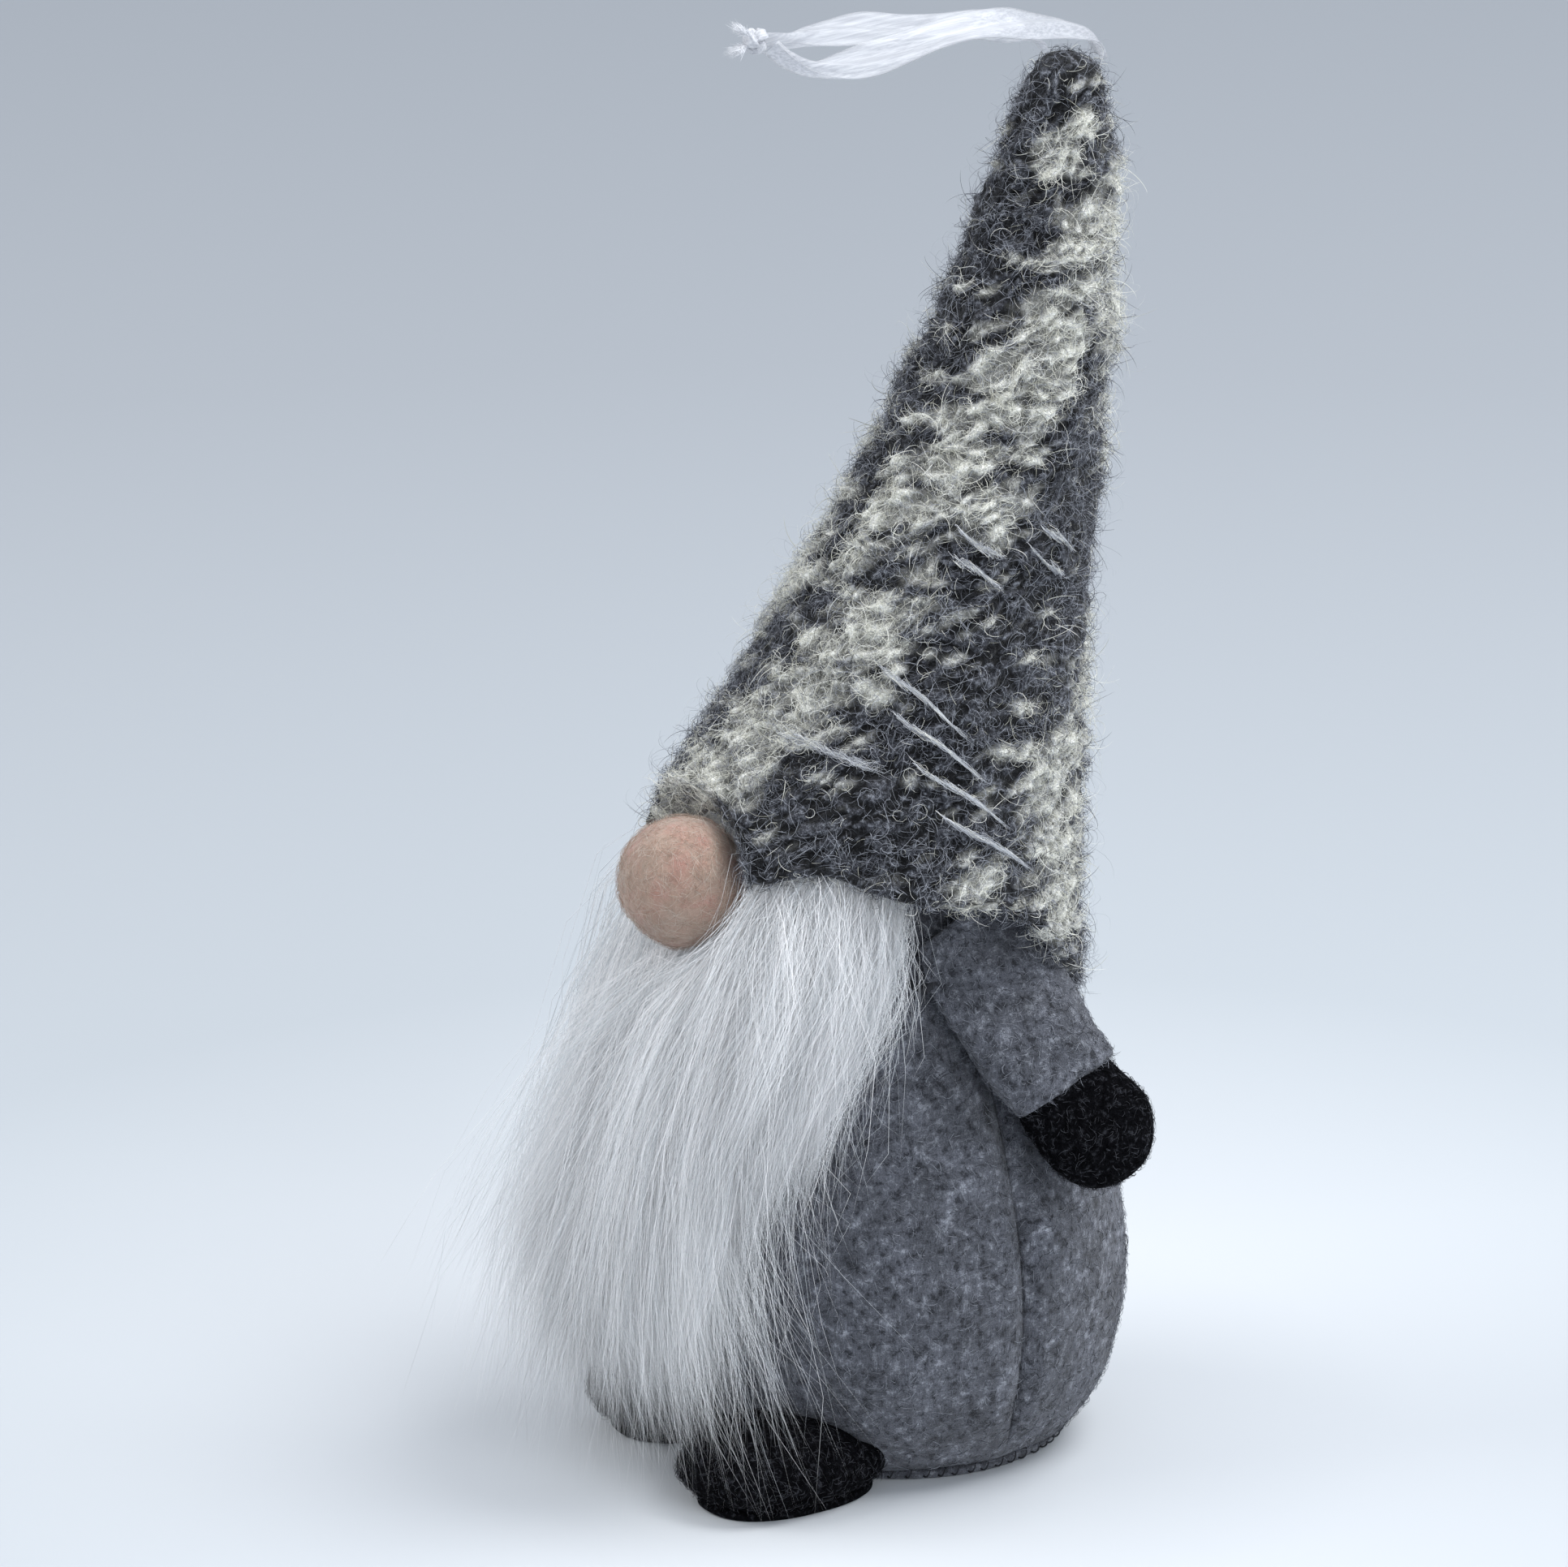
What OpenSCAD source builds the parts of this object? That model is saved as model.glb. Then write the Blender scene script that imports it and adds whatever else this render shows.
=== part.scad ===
// Stuffed felt gnome: weighted gored body, knitted cone hat, wool-ball nose,
// long-pile beard, two hinged arms with mittens, two toe-cap boots and a ribbon
// loop at the tip of the hat. It stands on its base disc and the boot soles.
// Millimetres, +Z up, the front faces -Y, and the gnome's own left is +X.
// The origin is the centre of the base disc's lower face.

/* [Body] */
// Largest radius of the stuffed body
body_r = 34.3; // [33:0.1:35]
// Height of the widest part of the belly
belly_z = 28; // [26:1:30]
// Radius of the flat base disc
base_r = 24.5; // [23:0.5:26]
// Height of the gathered top of the body, under the hat
body_h = 98; // [96:1:98]
// Radius of the neck, where the arms are tacked on
neck_r = 20; // [19:0.5:20]
// Height of the neck
neck_z = 80; // [78:1:81]
// Thickness of the felt
felt_t = 1.5; // [1:0.1:1.8]

/* [Hat] */
// Height of the centre of the brim
brim_z = 87.7; // [87:0.1:90]
// Forward offset of the centre of the brim
brim_forward = 6.3; // [5.5:0.1:6.3]
// Outer radius of the knit at the brim
hat_r = 36; // [35:0.5:38]
// Length of the cone from the brim's centre to the tip
hat_len = 134; // [125:1:140]
// Radius of the blunt tip
tip_r = 7.5; // [7:0.5:9]
// Backward lean of the cone
hat_lean = 17; // [14:1:19]
// Backward slope of the brim, pulled up over the nose
brim_slope = 33; // [30:1:34]
// Thickness of the knit
knit_t = 2.2; // [1.6:0.1:2.6]

/* [Face] */
// Radius of the wool nose ball
nose_r = 10; // [9:0.5:10]
// Distance of the nose in front of the body's axis
nose_y = 40.5; // [40.5:0.1:41]
// Height of the nose's centre
nose_z = 97.2; // [96:0.1:97.2]
// Half of the angle that the beard's backing wraps around the body
beard_half_angle = 52; // [40:1:54]

/* [Arms] */
// Length of the sleeve, from the shoulder thread to the wrist
sleeve_len = 24.5; // [22:0.5:26]
// Length of the mitten
mitten_len = 17; // [15:0.5:18]
// Width of the sleeve, front to back
sleeve_w = 18; // [16:0.5:19]
// Thickness of the stuffed sleeve
sleeve_t = 11; // [10:0.5:11]
// Outward lean of the hanging arm
arm_lean = 29; // [28:1:32]
// Backward tilt of the arm
arm_tilt = 24; // [12:1:26]

/* [Boots] */
// Radius of the boot's toe, seen from above
toe_r = 12.5; // [11:0.5:13]
// Height of the boot
boot_h = 13; // [11:0.5:13.5]
// Sideways distance of the left toe from the middle
left_toe_x = 14.5; // [14:0.5:17]
// Forward distance of the left toe's centre
left_toe_y = 36.5; // [34:0.5:37]
// Sideways distance of the right toe from the middle
right_toe_x = 19.5; // [16:0.5:20]
// Forward distance of the right toe's centre
right_toe_y = 29; // [28:0.5:34]

/* [Ribbon] */
// Width of the ribbon
ribbon_w = 6; // [4:0.5:7]
// Sideways roll of the flat ribbon
ribbon_roll = 25; // [0:5:40]

/* [Hidden] */
$fn = 64;

// Felt base disc, then the card disc that stiffens it
base_felt_t = 1.5;
base_card_t = 1.5;
// Gap left between parts that touch in the real object
gap = 0.3;
// Angle left open at each seam between two body panels
seam_angle = 0.5;
// Steps along each curved stretch of an outline
steps = 8;
// Facets of the balls inside a hull
ball_fn = 32;
// Radius of the tacking thread
thread_r = 0.6;
// Radius of the hole in the sleeve's hem that the thread runs through
hem_bore_r = 0.66;
// Hem of the sleeve: thickness, width and height
hem_t = 3.4;
hem_w = 16;
hem_h = 5;
// Place of the left shoulder thread
shoulder = [21.5, -2, 83.5];
// Where the beard's backing starts and ends
backing_z = [60, 88];
backing_t = 1.2;
// Colours
felt_grey = [0.44, 0.45, 0.49];
felt_black = [0.13, 0.13, 0.15];
fur_white = [0.95, 0.95, 0.95];
filling_white = [0.9, 0.89, 0.86];

// Ribbon: the two strands run forward from the tip of the hat to the knot
strand_back = [
    [0, 37, 214], [0, 35, 218], [0.5, 31, 220.5], [1.5, 25, 223], [3, 18, 225.5],
    [4, 10, 227], [4, 3, 226.5], [4, -4, 225], [4, -12, 224], [3.5, -19, 224],
    [2.5, -23, 225.5], [1.5, -25, 227.5]
];
strand_front = [
    [0, 26.5, 217], [-0.5, 24.5, 219.5], [-1.5, 22, 220.8], [-3, 17, 221.8],
    [-4, 11, 223], [-4, 4, 225], [-4, -4, 226.5], [-3.5, -12, 227],
    [-2.5, -19, 227.5], [-1.5, -25, 228.5]
];
// Share of the ribbon's width left where it gathers into the knot
pinch = 0.4;
knot_at = [0, -27, 228.5];

// Point at t on a cubic curve with the four control points p
function on_curve(p, t) =
    pow(1 - t, 3) * p[0] + 3 * t * pow(1 - t, 2) * p[1]
    + 3 * t * t * (1 - t) * p[2] + pow(t, 3) * p[3];
function curve(p) = [for (i = [0 : steps - 1]) on_curve(p, i / steps)];
function unit(v) = v / norm(v);

// Outline points moved sideways by d; a positive d is inwards, to the axis
function shifted(pts, d) = [
    for (i = [0 : len(pts) - 1])
        let (
            a = pts[max(i - 1, 0)],
            b = pts[min(i + 1, len(pts) - 1)],
            along = unit(b - a)
        )
        pts[i] + d * [-along[1], along[0]]
];
function reversed(pts) = [for (i = [len(pts) - 1 : -1 : 0]) pts[i]];

// Half outline of the body, from the base's edge up to the gathered top
floor_z = base_felt_t + gap;
body_outline = concat(
    curve([[base_r, floor_z], [base_r + 4, floor_z + 0.7],
           [body_r, belly_z * 0.45], [body_r, belly_z]]),
    curve([[body_r, belly_z], [body_r, belly_z + 18],
           [neck_r + 5.5, neck_z - 20], [neck_r, neck_z]]),
    curve([[neck_r, neck_z], [neck_r - 3.5, neck_z + 13],
           [neck_r * 0.5, body_h], [3, body_h]]),
    [[3, body_h]]
);

// Half outline of the knit, along the hat's own axis from below the brim
hat_outline = concat(
    curve([[hat_r + 2, -13], [hat_r - 0.5, 2],
           [hat_r * 0.737, hat_len * 0.195], [hat_r * 0.572, hat_len * 0.373]]),
    curve([[hat_r * 0.572, hat_len * 0.373], [hat_r * 0.407, hat_len * 0.552],
           [hat_r * 0.31, hat_len * 0.731], [tip_r, hat_len * 0.91]]),
    curve([[tip_r, hat_len * 0.91], [tip_r * 0.9, hat_len * 0.98],
           [tip_r * 0.6, hat_len], [0.5, hat_len]]),
    [[0.5, hat_len]]
);

module on_side(side) {
    if (side > 0) children();
    else mirror([1, 0, 0]) children();
}

// Solid of revolution inside the body's outline moved inwards by d
module body_form(d) {
    pts = shifted(body_outline, d);
    last = pts[len(pts) - 1];
    rotate_extrude()
        polygon(concat([[0, pts[0][1]]], pts, [[0, last[1]]]));
}

module body_panel(quarter) {
    inner = shifted(body_outline, felt_t);
    color(felt_grey)
        rotate([0, 0, 90 * quarter + seam_angle / 2])
            rotate_extrude(angle = 90 - seam_angle)
                polygon(concat(body_outline, reversed(inner)));
}

module base_felt() {
    color(felt_grey) cylinder(r = base_r, h = base_felt_t, $fn = 96);
}

module base_card() {
    color([0.62, 0.5, 0.36])
        translate([0, 0, floor_z + gap])
            cylinder(r = base_r - felt_t - 1, h = base_card_t, $fn = 96);
}

// Overcast thread along the edge of the base disc
module base_seam_thread() {
    color([0.3, 0.31, 0.34])
        rotate_extrude()
            translate([base_r + 0.9, base_felt_t - 0.3]) circle(r = 0.6, $fn = 24);
}

// Pouch of pellets that keeps the gnome upright
bag_r = 22;
bag_h = 13;
module bag_form(d) {
    low = floor_z + gap + base_card_t + gap;
    half = bag_h / 2;
    rotate_extrude() {
        translate([0, low - d]) square([bag_r - half, bag_h + 2 * d]);
        intersection() {
            translate([bag_r - half, low + half]) circle(r = half + d);
            square([bag_r * 2, bag_h * 3]);
        }
    }
}

module weight_bag() {
    color([0.75, 0.72, 0.65]) bag_form(0);
}

module body_stuffing() {
    color(filling_white)
        difference() {
            body_form(felt_t + gap);
            bag_form(gap);
            cylinder(r = bag_r + gap, h = floor_z + base_card_t + 2 * gap + bag_h / 2);
        }
}

module gather_thread() {
    color([0.3, 0.31, 0.34])
        rotate_extrude()
            translate([2.2, body_h - felt_t / 2]) circle(r = 0.5, $fn = 24);
}

// Room for the stuffed body and its base seam, grown by d
module body_room(d) {
    body_form(-d);
    cylinder(r = base_r + 1.5 + d, h = floor_z + 1, $fn = 96);
}

// Centre of the toe and of the instep; the right boot is built mirrored
function toe(side) =
    side > 0 ? [left_toe_x, -left_toe_y] : [right_toe_x, -right_toe_y];
function instep(side) = toe(side) + (side > 0 ? [0, 13] : [-3, 12.5]);

// Boot, filled solid and shrunk by d, before the body is cut away
module boot_form(side, d) {
    at = toe(side);
    back = instep(side);
    intersection() {
        hull() {
            translate([at[0], at[1], boot_h * 0.42])
                scale([toe_r - d, toe_r - d, boot_h * 0.58 - d])
                    sphere(r = 1, $fn = ball_fn);
            translate([back[0], back[1], boot_h * 0.38])
                scale([toe_r - 2 - d, toe_r - 2 - d, boot_h * 0.5 - d])
                    sphere(r = 1, $fn = ball_fn);
        }
        translate([-50, -80, base_felt_t + d * 0.2]) cube([100, 80, 40]);
    }
}

module boot_upper(side) {
    color(felt_black)
        on_side(side)
            difference() {
                boot_form(side, 0);
                boot_form(side, felt_t);
                body_room(0.5);
            }
}

module boot_filling(side) {
    color(filling_white)
        on_side(side)
            difference() {
                boot_form(side, felt_t + gap);
                body_room(1);
            }
}

module boot_sole(side) {
    color(felt_black)
        on_side(side)
            difference() {
                linear_extrude(height = base_felt_t - 0.1)
                    hull() {
                        translate(toe(side)) circle(r = toe_r - 1);
                        translate(instep(side)) circle(r = toe_r - 3);
                    }
                body_room(gap);
            }
}

// Woven backing of the fur, wrapped round the front of the body
module beard_backing() {
    pts = [for (p = body_outline) if (p[1] > backing_z[0] && p[1] < backing_z[1]) p];
    inner = shifted(pts, -gap);
    outer = shifted(pts, -gap - backing_t);
    color([0.85, 0.84, 0.8])
        rotate([0, 0, 270 - beard_half_angle])
            rotate_extrude(angle = 2 * beard_half_angle)
                polygon(concat(outer, reversed(inner)));
}

module ball(at, radii) {
    translate(at) scale(radii) sphere(r = 1, $fn = ball_fn);
}

// Outer shape of the pile, which falls forward and down over the boots
module beard_fur() {
    color(fur_white)
        difference() {
            hull() {
                ball([0, -23, 84], [24, 14, 14]);
                ball([0, -33, 54], [25, 20, 16]);
                ball([0, -43, 31], [19, 17, 13]);
                ball([-4, -59, 19], [9, 9, 8]);
            }
            body_form(-2 * gap - backing_t);
            translate([0, -nose_y, nose_z]) sphere(r = nose_r + gap);
        }
}

module nose_ball() {
    color([0.85, 0.68, 0.6]) translate([0, -nose_y, nose_z]) sphere(r = nose_r);
}

// Thread that ties the nose back to the top of the body
module nose_thread() {
    start = -nose_y + nose_r - 0.6;
    color([0.3, 0.31, 0.34])
        translate([0, start, nose_z - 4])
            rotate([-90, 0, 0]) cylinder(r = 0.5, h = -start - 12, $fn = 24);
}

// Places the left arm's own frame: thread along Y, arm hanging down
module at_shoulder(lean) {
    translate(shoulder) rotate([arm_tilt, 0, 0]) rotate([0, -lean, 0]) children();
}

module arm_slice(thick, wide, z) {
    translate([0, 0, z])
        scale([thick / wide, 1, 1]) cylinder(d = wide, h = 0.02, $fn = ball_fn);
}

// Sleeve shrunk by d
module sleeve_form(d) {
    hull() {
        translate([-hem_t / 2 + d, -hem_w / 2 + d, -hem_h + 0.5])
            cube([hem_t - 2 * d, hem_w - 2 * d, 0.5]);
        arm_slice(sleeve_t - 2 - 2 * d, sleeve_w - 2 * d, -sleeve_len * 0.45);
        arm_slice(sleeve_t - 2 * d, sleeve_w - 2 * d, -sleeve_len);
    }
}

// Mitten shrunk by d
module mitten_form(d) {
    hull() {
        arm_slice(sleeve_t - 2 * d, sleeve_w - 2 * d, -sleeve_len);
        ball([0, 0, -sleeve_len - mitten_len * 0.5],
             [sleeve_t / 2 + 0.6 - d, sleeve_w / 2 + 0.3 - d, mitten_len * 0.5 - d]);
    }
}

module sleeve(side) {
    color(felt_grey)
        on_side(side) at_shoulder(arm_lean)
            difference() {
                union() {
                    sleeve_form(0);
                    translate([-hem_t / 2, -hem_w / 2, -hem_h + 0.5])
                        cube([hem_t, hem_w, hem_h - 0.5]);
                    rotate([90, 0, 0])
                        cylinder(d = hem_t, h = hem_w, center = true, $fn = 48);
                }
                sleeve_form(felt_t);
                translate([0, 0, -sleeve_len - 1 + 0.01])
                    cube([30, 30, 2], center = true);
                rotate([90, 0, 0])
                    cylinder(r = hem_bore_r, h = hem_w + 2, center = true, $fn = 48);
            }
}

module mitten(side) {
    color(felt_black)
        on_side(side) at_shoulder(arm_lean)
            difference() {
                mitten_form(0);
                mitten_form(felt_t);
                translate([0, 0, -sleeve_len + 1 - gap])
                    cube([30, 30, 2], center = true);
            }
}

module arm_filling(side) {
    color(filling_white)
        on_side(side) at_shoulder(arm_lean)
            union() {
                sleeve_form(felt_t + gap);
                mitten_form(felt_t + gap);
            }
}

// Tacking thread: a bar through the hem and a leg into the body at each end
leg_y = hem_w / 2 + 1.6;
leg_len = 6;
module shoulder_thread(side) {
    color([0.2, 0.2, 0.22])
        on_side(side) at_shoulder(0) {
            rotate([90, 0, 0])
                cylinder(r = thread_r, h = 2 * leg_y, center = true, $fn = 48);
            for (end = [-1, 1])
                translate([0, end * leg_y, 0])
                    rotate([0, -90, 0]) cylinder(r = thread_r, h = leg_len, $fn = 24);
        }
}

// Places the hat's own frame: the brim's centre, with the cone along +Z
module at_brim() {
    translate([0, -brim_forward, brim_z]) rotate([-hat_lean, 0, 0]) children();
}

// Everything below the sloping brim, and the arch over each arm
module brim_cut(lift) {
    rotate([hat_lean - brim_slope, 0, 0])
        translate([-70, -70, -80 + lift]) cube([140, 140, 80]);
}
arch_r = 16;
module arm_arches() {
    translate([0, 0.5, neck_z - 4.5])
        rotate([0, 90, 0]) cylinder(r = arch_r, h = 120, center = true);
}

module hat_wall(from, to, lift) {
    outer = shifted(hat_outline, from);
    inner = shifted(hat_outline, to);
    top = [0, hat_len - to];
    difference() {
        at_brim()
            difference() {
                rotate_extrude()
                    polygon(concat(outer, [[0, hat_len - from], top], reversed(inner)));
                brim_cut(lift);
            }
        arm_arches();
    }
}

module hat_knit() {
    color([0.36, 0.37, 0.38]) hat_wall(0, knit_t, 0);
}

module hat_lining() {
    color([0.8, 0.8, 0.78]) hat_wall(knit_t + 0.2, knit_t + 1, 3);
}

stuffing_from = 14;
module hat_stuffing() {
    pts = [for (p = shifted(hat_outline, knit_t + 1.4)) if (p[1] > stuffing_from) p];
    top = hat_len - knit_t - 1.4;
    color(filling_white)
        at_brim()
            rotate_extrude()
                polygon(concat([[0, pts[0][1]]], pts, [[0, top]]));
}

// Stitches that hold the brim against the back of the body
tack_z = 70;
module hat_tacks() {
    color([0.2, 0.2, 0.22])
        for (turn = [-28, 0, 28])
            rotate([0, 0, turn])
                translate([0, neck_r + 1.5, tack_z])
                    rotate([-90, 0, 0]) cylinder(r = 0.5, h = 5, $fn = 24);
}

// Flat eight-sided tube along a route in the YZ plane
across = [cos(ribbon_roll), 0, -sin(ribbon_roll)];
ribbon_t = 1;
section = [[0.5, 0.2], [0.3, 0.5], [-0.3, 0.5], [-0.5, 0.2],
           [-0.5, -0.2], [-0.3, -0.5], [0.3, -0.5], [0.5, -0.2]];
module strand(route) {
    n = len(route);
    sides = len(section);
    points = [
        for (i = [0 : n - 1])
            let (
                along = unit(route[min(i + 1, n - 1)] - route[max(i - 1, 0)]),
                face = unit(cross(along, across)),
                width = cross(face, along) * ribbon_w * (i == n - 1 ? pinch : 1)
            )
            for (s = section) route[i] + s[0] * width + s[1] * ribbon_t * face
    ];
    walls = [
        for (i = [0 : n - 2], j = [0 : sides - 1])
            let (a = i * sides + j, b = i * sides + (j + 1) % sides)
            [a, b, b + sides, a + sides]
    ];
    near_end = [for (j = [sides - 1 : -1 : 0]) j];
    far_end = [for (j = [0 : sides - 1]) (n - 1) * sides + j];
    polyhedron(points, concat([near_end], walls, [far_end]));
}

module ribbon_loop() {
    color([0.97, 0.97, 1])
        union() {
            strand(strand_back);
            strand(strand_front);
        }
}

knot_r = 2.8;
module ribbon_knot() {
    color([0.97, 0.97, 1])
        translate(knot_at) {
            sphere(r = knot_r);
            for (turn = [20, 75])
                rotate([turn, 0, 0])
                    cylinder(r1 = 1.2, r2 = 2, h = 6.5, $fn = 24);
        }
}

base_felt();
base_card();
base_seam_thread();
weight_bag();
body_stuffing();
body_panel(0);  // body_panel_back_left
body_panel(1);  // body_panel_back_right
body_panel(2);  // body_panel_front_right
body_panel(3);  // body_panel_front_left
gather_thread();
boot_sole(1);  // boot_sole_left
boot_upper(1);  // boot_upper_left
boot_filling(1);  // boot_filling_left
boot_sole(-1);  // boot_sole_right
boot_upper(-1);  // boot_upper_right
boot_filling(-1);  // boot_filling_right
beard_backing();
beard_fur();
nose_thread();
nose_ball();
shoulder_thread(1);  // shoulder_thread_left
sleeve(1);  // sleeve_left
mitten(1);  // mitten_left
arm_filling(1);  // arm_filling_left
shoulder_thread(-1);  // shoulder_thread_right
sleeve(-1);  // sleeve_right
mitten(-1);  // mitten_right
arm_filling(-1);  // arm_filling_right
hat_lining();
hat_stuffing();
hat_tacks();
hat_knit();
ribbon_loop();
ribbon_knot();
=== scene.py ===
import math

import bpy
import numpy as np
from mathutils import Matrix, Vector


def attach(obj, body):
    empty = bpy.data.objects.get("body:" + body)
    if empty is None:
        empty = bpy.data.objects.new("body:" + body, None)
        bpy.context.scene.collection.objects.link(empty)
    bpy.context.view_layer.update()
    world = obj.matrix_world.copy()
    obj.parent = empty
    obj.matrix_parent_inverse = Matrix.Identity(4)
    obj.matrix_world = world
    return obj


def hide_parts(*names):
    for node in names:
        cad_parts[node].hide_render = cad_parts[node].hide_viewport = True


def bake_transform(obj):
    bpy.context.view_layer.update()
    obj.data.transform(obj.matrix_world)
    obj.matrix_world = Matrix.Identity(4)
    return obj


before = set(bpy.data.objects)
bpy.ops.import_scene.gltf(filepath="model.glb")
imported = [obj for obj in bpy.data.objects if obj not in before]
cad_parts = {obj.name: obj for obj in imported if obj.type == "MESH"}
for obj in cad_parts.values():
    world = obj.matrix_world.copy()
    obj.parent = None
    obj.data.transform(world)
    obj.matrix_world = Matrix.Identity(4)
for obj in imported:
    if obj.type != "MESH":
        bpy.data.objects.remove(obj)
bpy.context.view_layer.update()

# The looks of the stuffed gnome. Lengths are in metres unless a name ends in _MM, +Z is up, and
# the gnome faces -Y. Angles round the gnome count from its front, positive towards +X.

MM = 0.001

# Sizes that the CAD model has too
BODY_CURVES_MM = [
    [(24.5, 1.8), (28.5, 2.5), (34.3, 12.6), (34.3, 28)],
    [(34.3, 28), (34.3, 46), (25.5, 60), (20, 80)],
    [(20, 80), (16.5, 93), (10, 98), (3, 98)],
]
NOSE_CENTRE = np.array([0, -40.5, 97.2]) * MM
NOSE_R = 10 * MM
SHOULDER = np.array([21.5, -2, 83.5]) * MM
ARM_TILT = math.radians(24)
ARM_LEAN = math.radians(29)
SLEEVE_LEN = 24.5 * MM
MITTEN_LEN = 17 * MM
# Toe's centre of each boot and the way from it to the instep; the right boot is mirrored
BOOTS_MM = {1: ((14.5, -36.5), (0, 13)), -1: ((19.5, -29), (-3, 12.5))}


# ---------------------------------------------------------------- geometry helpers

def unit(v):
    return v / np.maximum(np.linalg.norm(v, axis=-1, keepdims=True), 1e-12)


def smooth_step(x, low, high):
    t = np.clip((x - low) / (high - low), 0, 1)
    return t * t * (3 - 2 * t)


def on_curve(control, t):
    """Points at t, from 0 to 1, on the Bezier curve with these control points."""
    control, t = np.array(control, float), np.asarray(t, float)
    degree = len(control) - 1
    return sum(
        math.comb(degree, i) * (t ** i * (1 - t) ** (degree - i))[..., None] * control[i]
        for i in range(degree + 1)
    )


def outline(curves_mm, steps):
    """(radius, height) points along the curves, in metres."""
    t = np.linspace(0, 1, steps + 1)
    parts = [on_curve(c, t)[:-1] for c in curves_mm] + [np.array([curves_mm[-1][-1]], float)]
    return np.concatenate(parts) * MM


def field(points, size, seed, count=16):
    """Smooth random values over points, about -1 to 1, with lumps of that size."""
    draw = np.random.default_rng(seed)
    waves = unit(draw.normal(size=(count, points.shape[-1])))
    waves = waves * draw.uniform(0.7, 1.3, (count, 1)) * math.pi / size
    phase = draw.uniform(0, 2 * math.pi, count)
    return np.clip(np.sin(points @ waves.T + phase).sum(-1) / math.sqrt(count), -1.6, 1.6)


def make_mesh(name, points, faces):
    mesh = bpy.data.meshes.new(name)
    faces = np.asarray(faces, np.int32)
    mesh.vertices.add(len(points))
    mesh.vertices.foreach_set("co", np.asarray(points, np.float32).ravel())
    mesh.loops.add(faces.size)
    mesh.loops.foreach_set("vertex_index", faces.ravel())
    mesh.polygons.add(len(faces))
    starts = np.arange(0, faces.size, faces.shape[1], dtype=np.int32)
    mesh.polygons.foreach_set("loop_start", starts)
    mesh.update(calc_edges=True)
    mesh.shade_smooth()
    obj = bpy.data.objects.new(name, mesh)
    bpy.context.scene.collection.objects.link(obj)
    return obj


def grid_faces(rows, cols, closed=True):
    """Quads of points stored row by row. A closed grid joins its last column to its first."""
    r, c = np.meshgrid(
        np.arange(rows - 1), np.arange(cols if closed else cols - 1), indexing="ij"
    )
    a, b = r * cols + c, r * cols + (c + 1) % cols
    return np.stack([a, b, b + cols, a + cols], -1).reshape(-1, 4)


def normals_of(points, faces):
    """Outward direction at each point of a quad mesh."""
    a, b, c, d = (points[faces[:, i]] for i in range(4))
    face = np.cross(c - a, d - b)
    total = np.zeros_like(points)
    for i in range(4):
        np.add.at(total, faces[:, i], face)
    return unit(total)


def scatter(points, faces, count, draw, weight=None):
    """Random places over a quad mesh: positions, outward directions, and the quads' indices."""
    a, b, c, d = (points[faces[:, i]] for i in range(4))
    area = np.linalg.norm(np.cross(c - a, d - b), axis=1)
    if weight is not None:
        area = area * weight[faces].mean(1)
    pick = draw.choice(len(faces), count, p=area / area.sum())
    u, v = draw.random((2, count, 1))
    a, b, c, d = a[pick], b[pick], c[pick], d[pick]
    place = a * (1 - u) * (1 - v) + b * u * (1 - v) + c * u * v + d * (1 - u) * v
    return place, unit(np.cross(c - a, d - b)), pick


def refine(obj):
    """One level of subdivision."""
    smooth = obj.modifiers.new("smooth", "SUBSURF")
    smooth.levels = smooth.render_levels = 1


def weld(obj):
    """Joins the points that coincide where a form closes."""
    obj.modifiers.new("weld", "WELD").merge_threshold = 1e-6


# ---------------------------------------------------------------- hairs

def hairs(name, paths, widths, materials, shades=None):
    """One mesh of tapering three-sided hairs. paths holds the points of each, root first."""
    count, steps = paths.shape[:2]
    draw = np.random.default_rng(len(name) * 1000 + count)
    along = unit(np.gradient(paths, axis=1))
    side = unit(np.cross(along[:, 0], unit(draw.normal(size=(count, 3)))))
    rings = []
    for j in range(steps - 1):
        side = unit(side - (side * along[:, j]).sum(-1, keepdims=True) * along[:, j])
        other = np.cross(along[:, j], side)
        share = j / (steps - 1)
        radius = (widths / 2 * (1 - 0.75 * share ** 2))[:, None]
        for corner in range(3):
            turn = corner * 2 * math.pi / 3
            offset = math.cos(turn) * side + math.sin(turn) * other
            rings.append(paths[:, j] + radius * offset)
    points = np.stack(rings + [paths[:, -1]], 1)
    each = points.shape[1]
    pattern = [(0, 2, 1)]
    for j in range(steps - 2):
        for m in range(3):
            a, b = 3 * j + m, 3 * j + (m + 1) % 3
            pattern += [(a, b, b + 3), (a, b + 3, a + 3)]
    last = 3 * (steps - 2)
    pattern += [(last + m, last + (m + 1) % 3, each - 1) for m in range(3)]
    faces = (np.array(pattern)[None] + (np.arange(count) * each)[:, None, None]).reshape(-1, 3)
    obj = make_mesh(name, points.reshape(-1, 3), faces)
    for m in materials:
        obj.data.materials.append(m)
    if shades is not None:
        index = np.repeat(np.asarray(shades, np.int32), len(pattern))
        obj.data.polygons.foreach_set("material_index", index)
    return obj


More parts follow.
